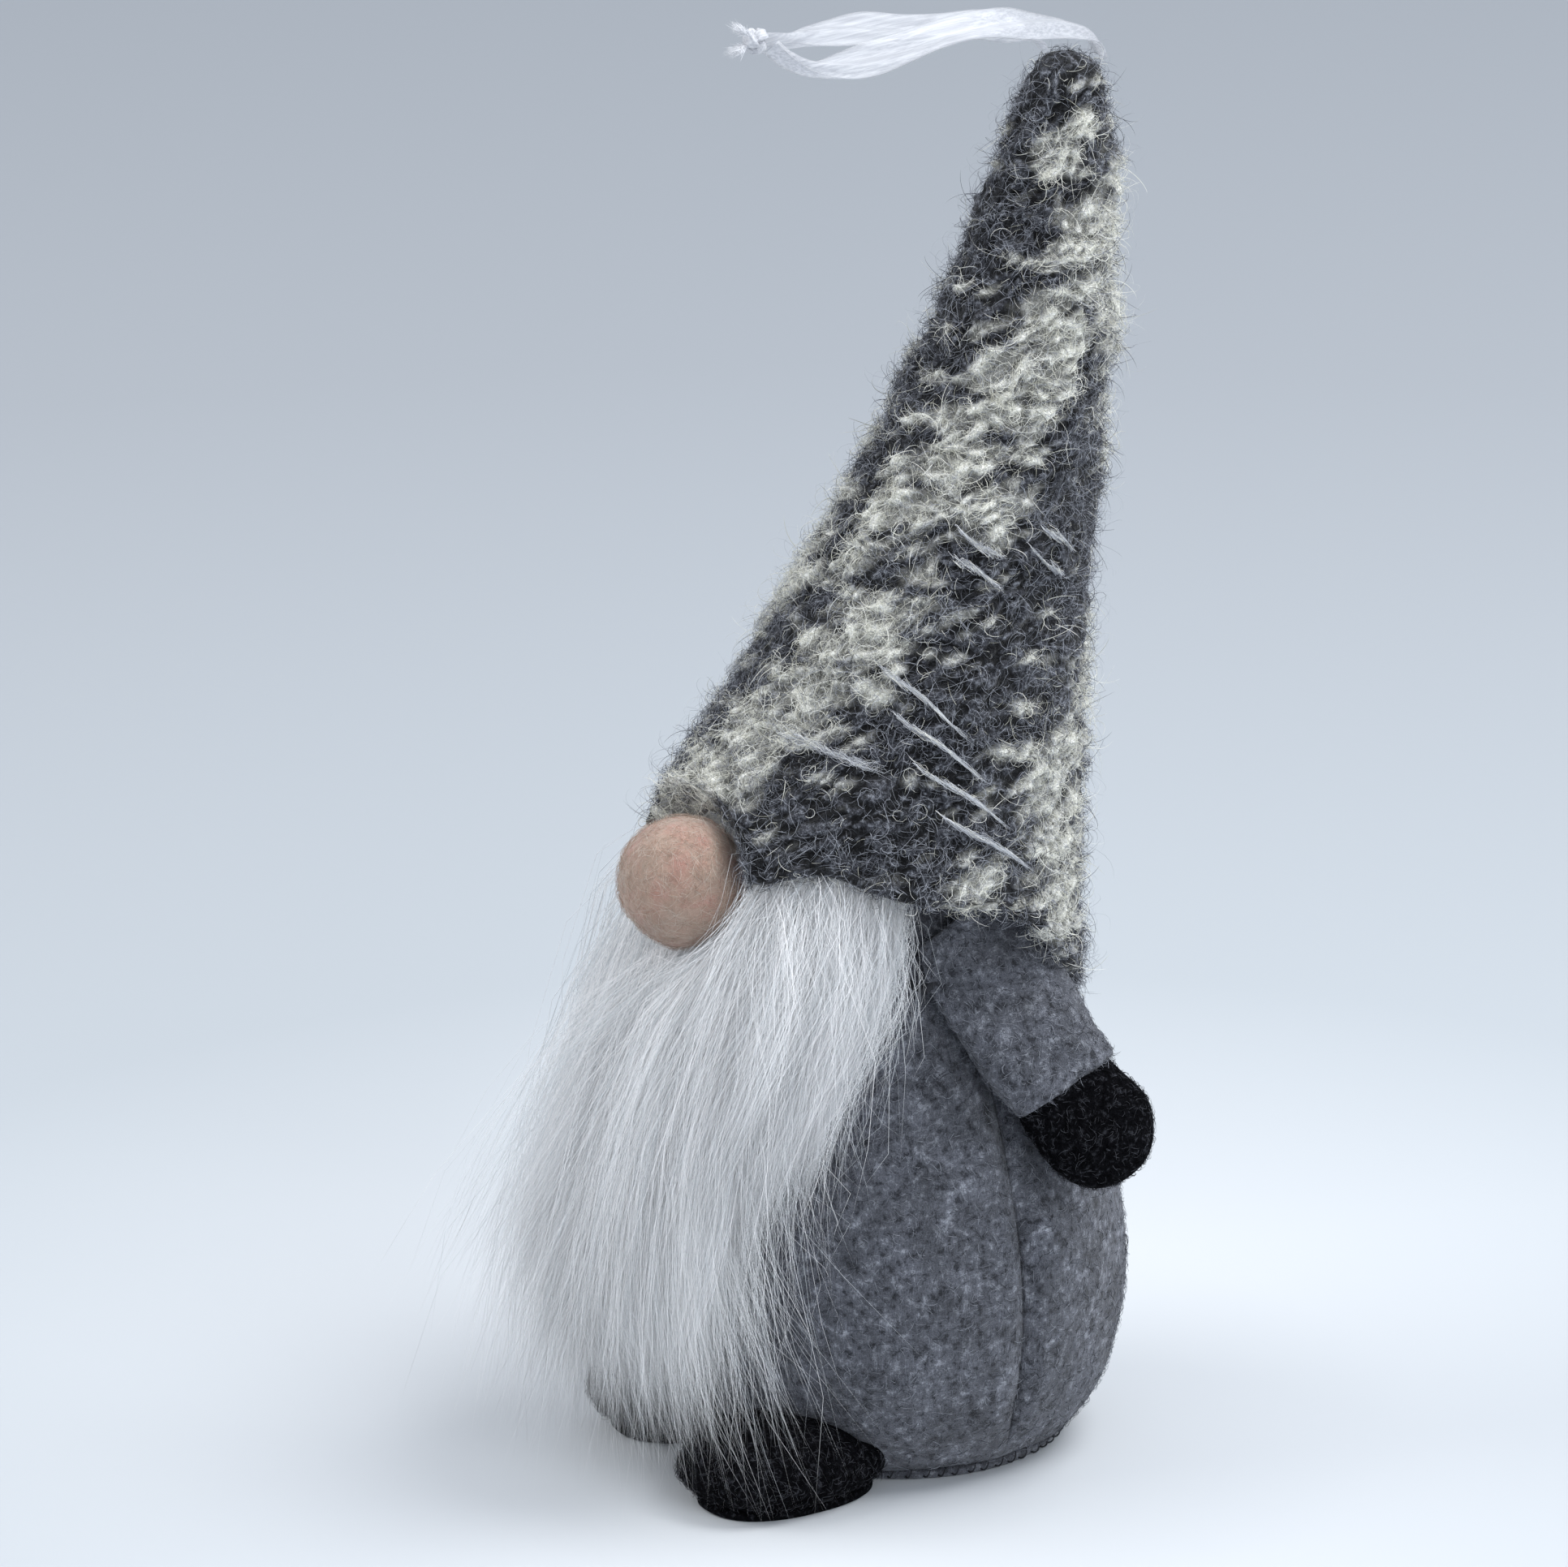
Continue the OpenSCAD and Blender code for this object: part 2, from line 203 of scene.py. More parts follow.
def curled(place, out, draw, length, rise, turn, steps, bend_r):
    """Fibres that leave a felted surface at place and curl over it by up to turn radians."""
    count = len(place)
    lie = unit(np.cross(out, draw.normal(size=(count, 3))))
    across = np.cross(out, lie)
    u = np.linspace(0, 1, steps)[None, :, None]
    size = length * draw.uniform(0.45, 1.35, (count, 1, 1))
    bend = turn * draw.uniform(-1, 1, (count, 1, 1))
    bend = np.where(np.abs(bend) < 0.2, 0.2, bend)
    ahead, aside = size * np.sin(bend * u) / bend, size * (1 - np.cos(bend * u)) / bend
    lift = rise * draw.uniform(0.1, 1.6, (count, 1, 1)) * np.sin(u * 2.2)
    drop = (ahead ** 2 + aside ** 2) / (2 * bend_r)
    root = place[:, None] - 0.15 * MM * out[:, None]
    return root + ahead * lie[:, None] + aside * across[:, None] + (lift - drop) * out[:, None]


# ---------------------------------------------------------------- materials

def new_material(name, roughness=0.9, sheen=0.0, specular=0.3):
    material = bpy.data.materials.new(name)
    material.use_nodes = True
    shader = material.node_tree.nodes["Principled BSDF"]
    shader.inputs["Roughness"].default_value = roughness
    shader.inputs["Specular IOR Level"].default_value = specular
    shader.inputs["Sheen Weight"].default_value = sheen
    shader.inputs["Sheen Roughness"].default_value = 0.5
    return material, material.node_tree, shader


def node(tree, kind, **inputs):
    """A new node with these inputs: a socket is linked, and anything else is its value."""
    made = tree.nodes.new(kind)
    for key, value in inputs.items():
        target = made.inputs[key.replace("_", " ")]
        if isinstance(value, bpy.types.NodeSocket):
            tree.links.new(value, target)
        else:
            target.default_value = value
    return made


def noise(tree, size, stretch=(1, 1, 1), detail=3.0, rough=0.6, turn=(0, 0, 0)):
    """Noise with lumps about size metres across, longer where stretch is below 1."""
    where = tree.nodes.new("ShaderNodeTexCoord").outputs["Object"]
    mapped = node(tree, "ShaderNodeMapping", Vector=where, Rotation=turn)
    mapped.inputs["Scale"].default_value = stretch
    made = node(tree, "ShaderNodeTexNoise", Vector=mapped.outputs[0], Scale=1 / size)
    made.inputs["Detail"].default_value = detail
    made.inputs["Roughness"].default_value = rough
    return made.outputs["Fac"]


def ramp(tree, value, stops):
    """Colours at places from 0 to 1 along value."""
    made = node(tree, "ShaderNodeValToRGB", Fac=value)
    elements = made.color_ramp.elements
    while len(elements) < len(stops):
        elements.new(0.5)
    for element, (place, colour) in zip(elements, stops):
        element.position = place
        element.color = (*colour, 1)
    return made.outputs["Color"]


def mix(tree, share, a, b, kind="MIX"):
    """Colour b over colour a; share, a and b are sockets or values."""
    made = tree.nodes.new("ShaderNodeMix")
    made.data_type = "RGBA"
    made.blend_type = kind
    for index, value in ((0, share), (6, a), (7, b)):
        if isinstance(value, bpy.types.NodeSocket):
            tree.links.new(value, made.inputs[index])
        else:
            made.inputs[index].default_value = value if index == 0 else (*value, 1)
    return made.outputs[2]


def add_bump(tree, shader, height, depth, strength=1.0):
    made = node(tree, "ShaderNodeBump", Height=height, Distance=depth, Strength=strength)
    tree.links.new(made.outputs["Normal"], shader.inputs["Normal"])


def grey(level):
    return (level, level, level)


def fibre_streaks(tree, length, width):
    """Fine fibres that lie in three directions, as a value from 0 to 1."""
    share = width / length
    layers = [
        noise(tree, width, (share, 1, 1), 2, 0.5, (0.3, 0.5, 0.9)),
        noise(tree, width, (1, share, 1), 2, 0.5, (0.7, 0.2, 0.4)),
        noise(tree, width, (1, 1, share), 2, 0.5, (0.5, 0.9, 0.1)),
    ]
    top = layers[0]
    for layer in layers[1:]:
        made = tree.nodes.new("ShaderNodeMath")
        made.operation = "MAXIMUM"
        tree.links.new(top, made.inputs[0])
        tree.links.new(layer, made.inputs[1])
        top = made.outputs[0]
    return top


def felt(name, dark, middle, light, fleck, sheen, specular=0.12):
    """Wool felt: heathered flecks under fine fibres that lie every way."""
    material, tree, shader = new_material(name, 0.95, sheen, specular)
    flecks = noise(tree, fleck, detail=4, rough=0.7)
    colour = ramp(tree, flecks, [(0.36, dark), (0.47, middle), (0.54, middle), (0.66, light)])
    clouds = ramp(tree, noise(tree, fleck * 3.5, detail=2), [(0.32, grey(0.62)), (0.68, grey(1.3))])
    colour = mix(tree, 1.0, colour, clouds, "MULTIPLY")
    streaks = fibre_streaks(tree, 2.4 * MM, 0.16 * MM)
    shine = ramp(tree, streaks, [(0.52, grey(0.7)), (0.7, grey(1.5))])
    colour = mix(tree, 0.85, colour, shine, "MULTIPLY")
    tree.links.new(colour, shader.inputs["Base Color"])
    add_bump(tree, shader, streaks, 0.45 * MM, 1.0)
    return material


def plain_cloth(name, colour, size, roughness=0.9):
    """Simple hidden material: a colour with grain of that size, and its relief."""
    material, tree, shader = new_material(name, roughness)
    grain = noise(tree, size)
    low, high = tuple(c * 0.75 for c in colour), tuple(min(1.0, c * 1.15) for c in colour)
    tree.links.new(ramp(tree, grain, [(0.3, low), (0.7, high)]), shader.inputs["Base Color"])
    add_bump(tree, shader, grain, size * 0.4)
    return material


def fibre(name, colour, roughness=0.7, sheen=0.0, glow=0.0, specular=0.2):
    """One shade of loose fibre; a hair piece mixes several. glow stands for light that wanders
    through a deep white pile."""
    material, _, shader = new_material(name, roughness, sheen, specular)
    shader.inputs["Base Color"].default_value = (*colour, 1)
    shader.inputs["Emission Color"].default_value = (*colour, 1)
    shader.inputs["Emission Strength"].default_value = glow
    return material


GREY_FELT = felt("felt_grey", (0.035, 0.037, 0.045), (0.12, 0.126, 0.148),
                 (0.28, 0.293, 0.33), 1.6 * MM, 0.2)
BLACK_FELT = felt("felt_black", (0.0015, 0.0015, 0.002), (0.004, 0.004, 0.005),
                  (0.035, 0.036, 0.042), 1.0 * MM, 0.0, 0.03)
FILLING = plain_cloth("fibrefill", (0.8, 0.79, 0.76), 1.5 * MM)
THREAD = plain_cloth("dark_thread", (0.03, 0.031, 0.036), 0.4 * MM)
BODY_FIBRES = [fibre("fibre_grey_dark", (0.03, 0.032, 0.038)),
               fibre("fibre_grey", (0.15, 0.157, 0.185)),
               fibre("fibre_grey_light", (0.33, 0.345, 0.385))]
BLACK_FIBRES = [fibre("fibre_black", (0.002, 0.002, 0.003), specular=0.05),
                fibre("fibre_soot", (0.008, 0.008, 0.010), specular=0.05),
                fibre("fibre_charcoal", (0.07, 0.072, 0.082), specular=0.1)]


# ---------------------------------------------------------------- pieces ride and stand in

def finish_piece(obj, body, replaced=()):
    """Puts a piece on its CAD body and hides the CAD parts that it replaces."""
    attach(obj, body)
    if replaced:
        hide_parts(*replaced)
    return obj


def inflate(points, faces, held, pressure, cap):
    """Swells a stuffed form by cloth simulation, held along its seams, by up to cap metres.

    The cloth runs at ten times the real size, where the solver's units behave."""
    scale = 10
    obj = make_mesh("swelling", points * scale, faces)
    group = obj.vertex_groups.new(name="held")
    group.add([int(i) for i in held], 1.0, "REPLACE")
    cloth = obj.modifiers.new("Cloth", "CLOTH")
    settings = cloth.settings
    settings.quality = 5
    settings.mass = 0.1
    settings.use_pressure = True
    settings.uniform_pressure_force = pressure
    settings.vertex_group_mass = "held"
    settings.effector_weights.gravity = 0
    for number in range(1, 21):
        bpy.context.scene.frame_set(number)
    shown = obj.evaluated_get(bpy.context.evaluated_depsgraph_get())
    moved = np.zeros(len(points) * 3, np.float32)
    shown.data.vertices.foreach_get("co", moved)
    step = moved.reshape(-1, 3) / scale - points
    size = np.linalg.norm(step, axis=1, keepdims=True)
    bpy.data.objects.remove(obj)
    bpy.context.scene.frame_set(1)
    return points + step * np.minimum(1, cap / np.maximum(size, 1e-9))


# ---------------------------------------------------------------- camera, floor and light

def add_camera():
    """Stands to the gnome's front left and looks a little down at it."""
    azimuth, elevation, distance = math.radians(55), math.radians(20), 3.6
    aim = Vector((-0.0102, -0.0146, 0.1044))
    back = Vector((math.sin(azimuth) * math.cos(elevation),
                   -math.cos(azimuth) * math.cos(elevation), math.sin(elevation)))
    camera = bpy.data.cameras.new("camera")
    camera.sensor_width, camera.lens = 36, 543
    camera.clip_end = 20
    obj = bpy.data.objects.new("camera", camera)
    bpy.context.scene.collection.objects.link(obj)
    obj.rotation_mode = "QUATERNION"
    obj.location = aim + back * distance
    obj.rotation_quaternion = (-back).to_track_quat("-Z", "Y")
    bpy.context.scene.camera = obj


def add_light(name, place, aim, size, power, colour):
    light = bpy.data.lights.new(name, "AREA")
    light.shape, light.size, light.energy, light.color = "DISK", size, power, colour
    obj = bpy.data.objects.new(name, light)
    bpy.context.scene.collection.objects.link(obj)
    obj.location = place
    obj.rotation_mode = "QUATERNION"
    obj.rotation_quaternion = (Vector(aim) - Vector(place)).to_track_quat("-Z", "Y")


def add_studio():
    """Floor with painted light falloff, pale near the gnome and darker blue-grey farther off; soft lights
    and a pale world.
    """
    half = 4.0
    corners = [(-half, -half, 0), (half, -half, 0), (half, half, 0), (-half, half, 0)]
    floor = make_mesh("floor", np.array(corners), [(0, 1, 2, 3)])
    material, tree, shader = new_material("floor_painted_light_falloff", 0.6, 0, 0.2)
    where = tree.nodes.new("ShaderNodeTexCoord").outputs["Object"]
    far = tree.nodes.new("ShaderNodeVectorMath")
    far.operation = "LENGTH"
    tree.links.new(where, far.inputs[0])
    # Painted light: the floor is brightest close to the gnome and darkens with distance, like a pool of
    # lamp light.
    painted_light_falloff = ramp(tree, far.outputs["Value"],
                [(0.08, (0.66, 0.685, 0.71)), (0.2, (0.50, 0.535, 0.565)), (0.5, (0.43, 0.455, 0.485))])
    tree.links.new(painted_light_falloff, shader.inputs["Base Color"])
    floor.data.materials.append(material)
    world = bpy.context.scene.world or bpy.data.worlds.new("World")
    bpy.context.scene.world = world
    world.use_nodes = True
    sky = world.node_tree.nodes["Background"]
    sky.inputs["Color"].default_value = (0.60, 0.66, 0.76, 1)
    sky.inputs["Strength"].default_value = 0.72
    aim = (0, 0, 0.1)
    add_light("key", (-0.45, -0.7, 0.75), aim, 0.8, 5.8, (1, 0.985, 0.96))
    add_light("fill", (0.9, -0.1, 0.5), aim, 0.7, 3.8, (0.94, 0.97, 1))
    add_light("top", (0.26, 0.46, 1.0), aim, 0.7, 9.5, (0.98, 0.99, 1))
    bpy.context.scene.view_settings.view_transform = "Standard"


# ---------------------------------------------------------------- ribbon

STRAND_BACK_MM = [
    (0, 37, 214), (0, 35, 217.5), (0.5, 31, 219.5), (1.5, 25, 221.5), (3, 18, 223.5),
    (4, 10, 224.8), (4, 3, 224.6), (4, -4, 223.6), (4, -12, 223), (3.5, -19, 223.6),
    (2.5, -23, 225.5), (1.5, -25, 227.5),
]
STRAND_FRONT_MM = [
    (0, 26.5, 217), (-0.5, 24.5, 219.5), (-1.5, 22, 220.8), (-3, 17, 221.8),
    (-4, 11, 222.6), (-4, 4, 223.8), (-4, -4, 225), (-3.5, -12, 225.6),
    (-2.5, -19, 226.4), (-1.5, -25, 227.8),
]
KNOT = np.array([0, -27, 228.5]) * MM
RIBBON_W = 6 * MM
RIBBON_ROLL = math.radians(25)


def organza(name, opacity):
    """Sheer white ribbon with fine lengthwise threads."""
    material, tree, shader = new_material(name, 0.35, 0.3, 0.5)
    threads = noise(tree, 0.35 * MM, (1, 0.03, 1), 2)
    tree.links.new(ramp(tree, threads, [(0.36, (0.58, 0.59, 0.63)), (0.64, (0.84, 0.85, 0.88))]),
                   shader.inputs["Base Color"])
    shader.inputs["Alpha"].default_value = opacity
    add_bump(tree, shader, threads, 0.15 * MM, 0.8)
    return material


def resample(points, count):
    """Smooth curve through the points, with count points evenly spaced along it."""
    padded = np.concatenate([[2 * points[0] - points[1]], points, [2 * points[-1] - points[-2]]])
    t = np.linspace(0, 1, 12, endpoint=False)[:, None]
    parts = []
    for a, b, c, d in zip(padded, padded[1:], padded[2:], padded[3:]):
        parts.append(0.5 * (2 * b + (c - a) * t + (2 * a - 5 * b + 4 * c - d) * t ** 2
                            + (3 * b - a - 3 * c + d) * t ** 3))
    line = np.concatenate(parts + [points[-1:]])
    along = np.concatenate([[0], np.cumsum(np.linalg.norm(np.diff(line, axis=0), axis=1))])
    at = np.linspace(0, along[-1], count)
    return np.stack([np.interp(at, along, line[:, k]) for k in range(3)], 1)


def ribbon_strand(name, route_mm, seed):
    """Flat ribbon along the route, gathered where it goes into the hat and into the knot."""
    line = resample(np.array(route_mm, float) * MM, 90)
    along = unit(np.gradient(line, axis=0))
    across = np.array([math.cos(RIBBON_ROLL), 0, -math.sin(RIBBON_ROLL)])
    face = unit(np.cross(along, across))
    side = np.cross(face, along)
    share = np.linspace(0, 1, len(line))
    width = RIBBON_W * (1 - 0.72 * smooth_step(share, 0.72, 1)) * (0.5 + 0.5 * smooth_step(share, 0, 0.15))
    lanes = np.linspace(-0.5, 0.5, 13)
    draw = np.random.default_rng(seed)
    rings = []
    for sign in (1, -1):
        for lane in lanes[::sign]:
            fold = 0.55 * MM * np.sin(lane * 9 + 2.5 * np.sin(share * 7 + seed) + draw.uniform(0, 0.4))
            gather = 1 + 1.6 * smooth_step(share, 0.75, 1)
            half = 0.07 * MM + 0.10 * MM * (abs(lane) > 0.45)
            rings.append(line + side * (width * lane)[:, None]
                         + face * (fold * gather + sign * half)[:, None])
    points = np.stack(rings, 1).reshape(-1, 3)
    obj = make_mesh(name, points, grid_faces(len(line), 2 * len(lanes)))
    obj.data.materials.append(organza(name + "_organza", 0.36))
    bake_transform(obj)
    return obj, line


def ribbon_knot():
    """Overhand knot: a trefoil of gathered ribbon with two frayed tails."""
    t = np.linspace(0, 2 * math.pi, 72, endpoint=False)
    trefoil = np.stack([np.sin(t) + 2 * np.sin(2 * t), np.cos(t) - 2 * np.cos(2 * t),
                        -1.6 * np.sin(3 * t)], 1) * 0.5 * MM
    line = KNOT + trefoil[:, [2, 0, 1]]
    along = unit(np.roll(line, -1, 0) - np.roll(line, 1, 0))
    side = unit(np.cross(along, unit(line - KNOT) + 1e-6))
    face = np.cross(along, side)
    turn = np.linspace(0, 2 * math.pi, 14, endpoint=False)
    pleat = 1 + 0.16 * np.cos(5 * turn)
    points = (line[:, None] + 1.05 * MM * pleat[None, :, None] * np.cos(turn)[None, :, None] * side[:, None]
              + 0.65 * MM * pleat[None, :, None] * np.sin(turn)[None, :, None] * face[:, None])
    faces = grid_faces(len(line) + 1, 14) % (len(line) * 14)
    knot = make_mesh("ribbon_knot_twist", points.reshape(-1, 3), faces)
    knot.data.materials.append(organza("knot_organza", 0.8))
    finish_piece(knot, "hanger", ["ribbon_knot"])
    draw = np.random.default_rng(5)
    count, steps = 700, 7
    tail = draw.integers(0, 2, count)
    aim = np.array([[0, -0.94, -0.25], [0, -0.75, 0.6]])[tail]
    spread = draw.uniform(-1, 1, (count, 1))
    u = np.linspace(0, 1, steps)[None, :, None]
    size = draw.uniform(0.5, 1.2, (count, 1, 1)) * 3.4 * MM
    sideways = np.array([1.0, 0, 0]) * spread * 0.45 + draw.normal(0, 0.08, (count, 3))
    path = (KNOT + aim * 1.2 * MM)[:, None] + u * size * unit(aim + sideways)[:, None]
    path = path + draw.normal(0, 0.35 * MM, (count, 1, 3)) * u ** 2
    frays = hairs("ribbon_frayed_tails", path, draw.uniform(0.05, 0.11, count) * MM,
                  [fibre("ribbon_fray", (0.93, 0.94, 0.97), 0.4)])
    finish_piece(frays, "hanger")
    return knot, frays


def add_ribbon():
    back, back_line = ribbon_strand("ribbon_strand_back", STRAND_BACK_MM, 1)
    front, front_line = ribbon_strand("ribbon_strand_front", STRAND_FRONT_MM, 2)
    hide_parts("ribbon_loop")
    knot, frays = ribbon_knot()


# ---------------------------------------------------------------- body

def body_radius(z):
    line = outline(BODY_CURVES_MM, 24)
    return np.interp(z, line[:, 1], line[:, 0])


def add_body():
    """Four felt gores, swollen between their seams, over the base disc."""
    line = outline(BODY_CURVES_MM, 26)
    cols = 192
    turn = np.arange(cols) * 2 * math.pi / cols
    ring = np.stack([np.sin(turn), -np.cos(turn)], 1)
    points = np.concatenate(
        [line[:, None, :1] * ring[None], np.repeat(line[:, None, 1:], cols, 1)], 2
    )
    # Distance along the felt to the nearest seam; seams lie at the front, back and both sides
    to_seam = np.abs((turn + math.pi / 4) % (math.pi / 2) - math.pi / 4)
    gap = line[:, :1] * to_seam[None]
    depth = 1.9 * MM * np.exp(-np.abs(gap / (1.5 * MM)) ** 1.5) * smooth_step(line[:, 1:], 0.002, 0.012)
    inward = -points.copy()
    inward[..., 2] = 0
    points = points + unit(inward) * depth[..., None]
    flat = points.reshape(-1, 3)
    faces = grid_faces(len(line), cols)
    rows = np.arange(len(line))
    quarter = cols // 4
    held = np.concatenate([rows * cols + q * quarter for q in range(4)]
                          + [np.arange(cols), np.arange(cols) + (len(line) - 1) * cols])
    flat = inflate(flat, faces, np.unique(held), 4, 1.2 * MM)
    out = normals_of(flat, faces)
    lumps = 0.45 * field(flat, 11 * MM, 3) + 0.25 * field(flat, 5 * MM, 4)
    calm = np.exp(-((gap / (1.2 * MM)) ** 2)).reshape(-1, 1)
    flat = flat + out * (lumps[:, None] * 0.5 * MM * (1 - calm))
    grid = flat.reshape(len(line), cols, 3)
    names = ["front_left", "back_left", "back_right", "front_right"]
    for q, name in enumerate(names):
        part = grid[:, np.arange(q * quarter, (q + 1) * quarter + 1) % cols]
        gore = make_mesh("body_gore_" + name, part.reshape(-1, 3),
                         grid_faces(len(line), quarter + 1, closed=False))
        gore.data.materials.append(GREY_FELT)
        refine(gore)
        wall = gore.modifiers.new("felt", "SOLIDIFY")
        wall.thickness, wall.offset = 1.2 * MM, -1
        finish_piece(gore, "torso", ["body_panel_" + name])
    draw = np.random.default_rng(21)
    for part in (1, 2):
        place, direction, _ = scatter(flat, faces, 11000, draw)
        paths = curled(place, direction, draw, 2.2 * MM, 0.45 * MM, 2.2, 4, 0.03)
        shades = draw.choice(3, len(place), p=[0.4, 0.36, 0.24])
        fuzz = hairs(f"body_felt_nap_{part}", paths, draw.uniform(0.05, 0.10, len(place)) * MM,
                     BODY_FIBRES, shades)
        finish_piece(fuzz, "torso")
    stuffing = lathe("body_fibrefill", outline(BODY_CURVES_MM, 10), 5 * MM)
    stuffing.data.materials.append(FILLING)
    finish_piece(stuffing, "torso", ["body_stuffing"])


def lathe(name, line, inset):
    """Closed solid of revolution, moved inwards by inset."""
    radius = np.maximum(line[:, 0] - inset, 0.0005)
    height = np.clip(line[:, 1], line[0, 1] + inset, line[-1, 1] - inset)
    turn = np.arange(48) * 2 * math.pi / 48
    points = np.stack([radius[:, None] * np.sin(turn), -radius[:, None] * np.cos(turn),
                       np.repeat(height[:, None], 48, 1)], 2)
    ends = [np.repeat(points[i].mean(0)[None], 48, 0) for i in (0, -1)]
    points = np.concatenate([ends[0][None], points, ends[1][None]])
    obj = make_mesh(name, points.reshape(-1, 3), grid_faces(len(points), 48))
    weld(obj)
    return obj


def add_base():
    """Felt disc under the body and the overcast stitches round its edge."""
    edge = 24.5
    line = np.array([(0.01, 0.0), (edge - 0.5, 0.0), (edge, 0.4), (edge, 1.1), (edge - 0.5, 1.5),
                     (0.01, 1.5)]) * MM
    disc = lathe("base_disc", line, 0.0)
    disc.data.materials.append(GREY_FELT)
    finish_piece(disc, "torso", ["base_felt"])
    draw = np.random.default_rng(31)
    count, steps = 62, 9
    turn = (np.arange(count) + draw.uniform(-0.15, 0.15, count)) * 2 * math.pi / count
    u = np.linspace(0, 1, steps)
    arc = math.pi * (u - 0.12) * 1.25
    radius = (edge + 0.4) * MM + 0.7 * MM * np.sin(arc)
    height = 1.5 * MM - 0.9 * MM * np.cos(arc)
    slant = turn[:, None] + (u - 0.5)[None] * 0.05
    paths = np.stack([radius * np.sin(slant), -radius * np.cos(slant),
                      np.repeat(height[None], count, 0)], 2)
    stitches = hairs("base_overcast_stitches", paths, np.full(count, 0.34 * MM), [THREAD])
    finish_piece(stitches, "torso", ["base_seam_thread"])


# ---------------------------------------------------------------- arms

def from_arm(points, side):
    """Points of the hanging left arm's own frame, in the row frame; side -1 mirrors them."""
    x, y, z = points[..., 0], points[..., 1], points[..., 2]
    x, z = (x * math.cos(ARM_LEAN) - z * math.sin(ARM_LEAN),
            x * math.sin(ARM_LEAN) + z * math.cos(ARM_LEAN))
    y, z = (y * math.cos(ARM_TILT) - z * math.sin(ARM_TILT),
            y * math.sin(ARM_TILT) + z * math.cos(ARM_TILT))
    placed = np.stack([x, y, z], -1) + SHOULDER
    return placed * np.array([side, 1, 1])


def arm_tube(down, thick, wide, cols=56, flat=0.88):
    """Rings of a flattened stuffed tube, at these distances down the arm."""
    turn = np.arange(cols) * 2 * math.pi / cols
    x = np.sign(np.cos(turn)) * np.abs(np.cos(turn)) ** flat
    y = np.sign(np.sin(turn)) * np.abs(np.sin(turn)) ** flat
    return np.stack([thick[:, None] / 2 * x, wide[:, None] / 2 * y,
                     np.repeat(-down[:, None], cols, 1)], -1)


def bend_at_shoulder(obj):
    """Bakes the piece's placement into its mesh points."""
    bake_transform(obj)


def stuffed(name, rings, side, material, seed, held_rows, lump, finer=True):
    """Mesh through the arm's rings, swollen between its two side seams."""
    rows, cols = rings.shape[:2]
    points = from_arm(rings.reshape(-1, 3), side)
    faces = grid_faces(rows, cols)
    if side > 0:
        faces = faces[:, ::-1]
    index = np.arange(rows * cols).reshape(rows, cols)
    held = np.concatenate([index[held_rows].ravel(), index[:, cols // 4], index[:, 3 * cols // 4]])
    points = inflate(points, faces, np.unique(held), 3, 0.7 * MM)
    out = normals_of(points, faces)
    points = points + out * (field(points, 6 * MM, seed) * lump)[:, None]
    obj = make_mesh(name, points, faces)
    obj.data.materials.append(material)
    if finer:
        refine(obj)
    return obj, points, faces


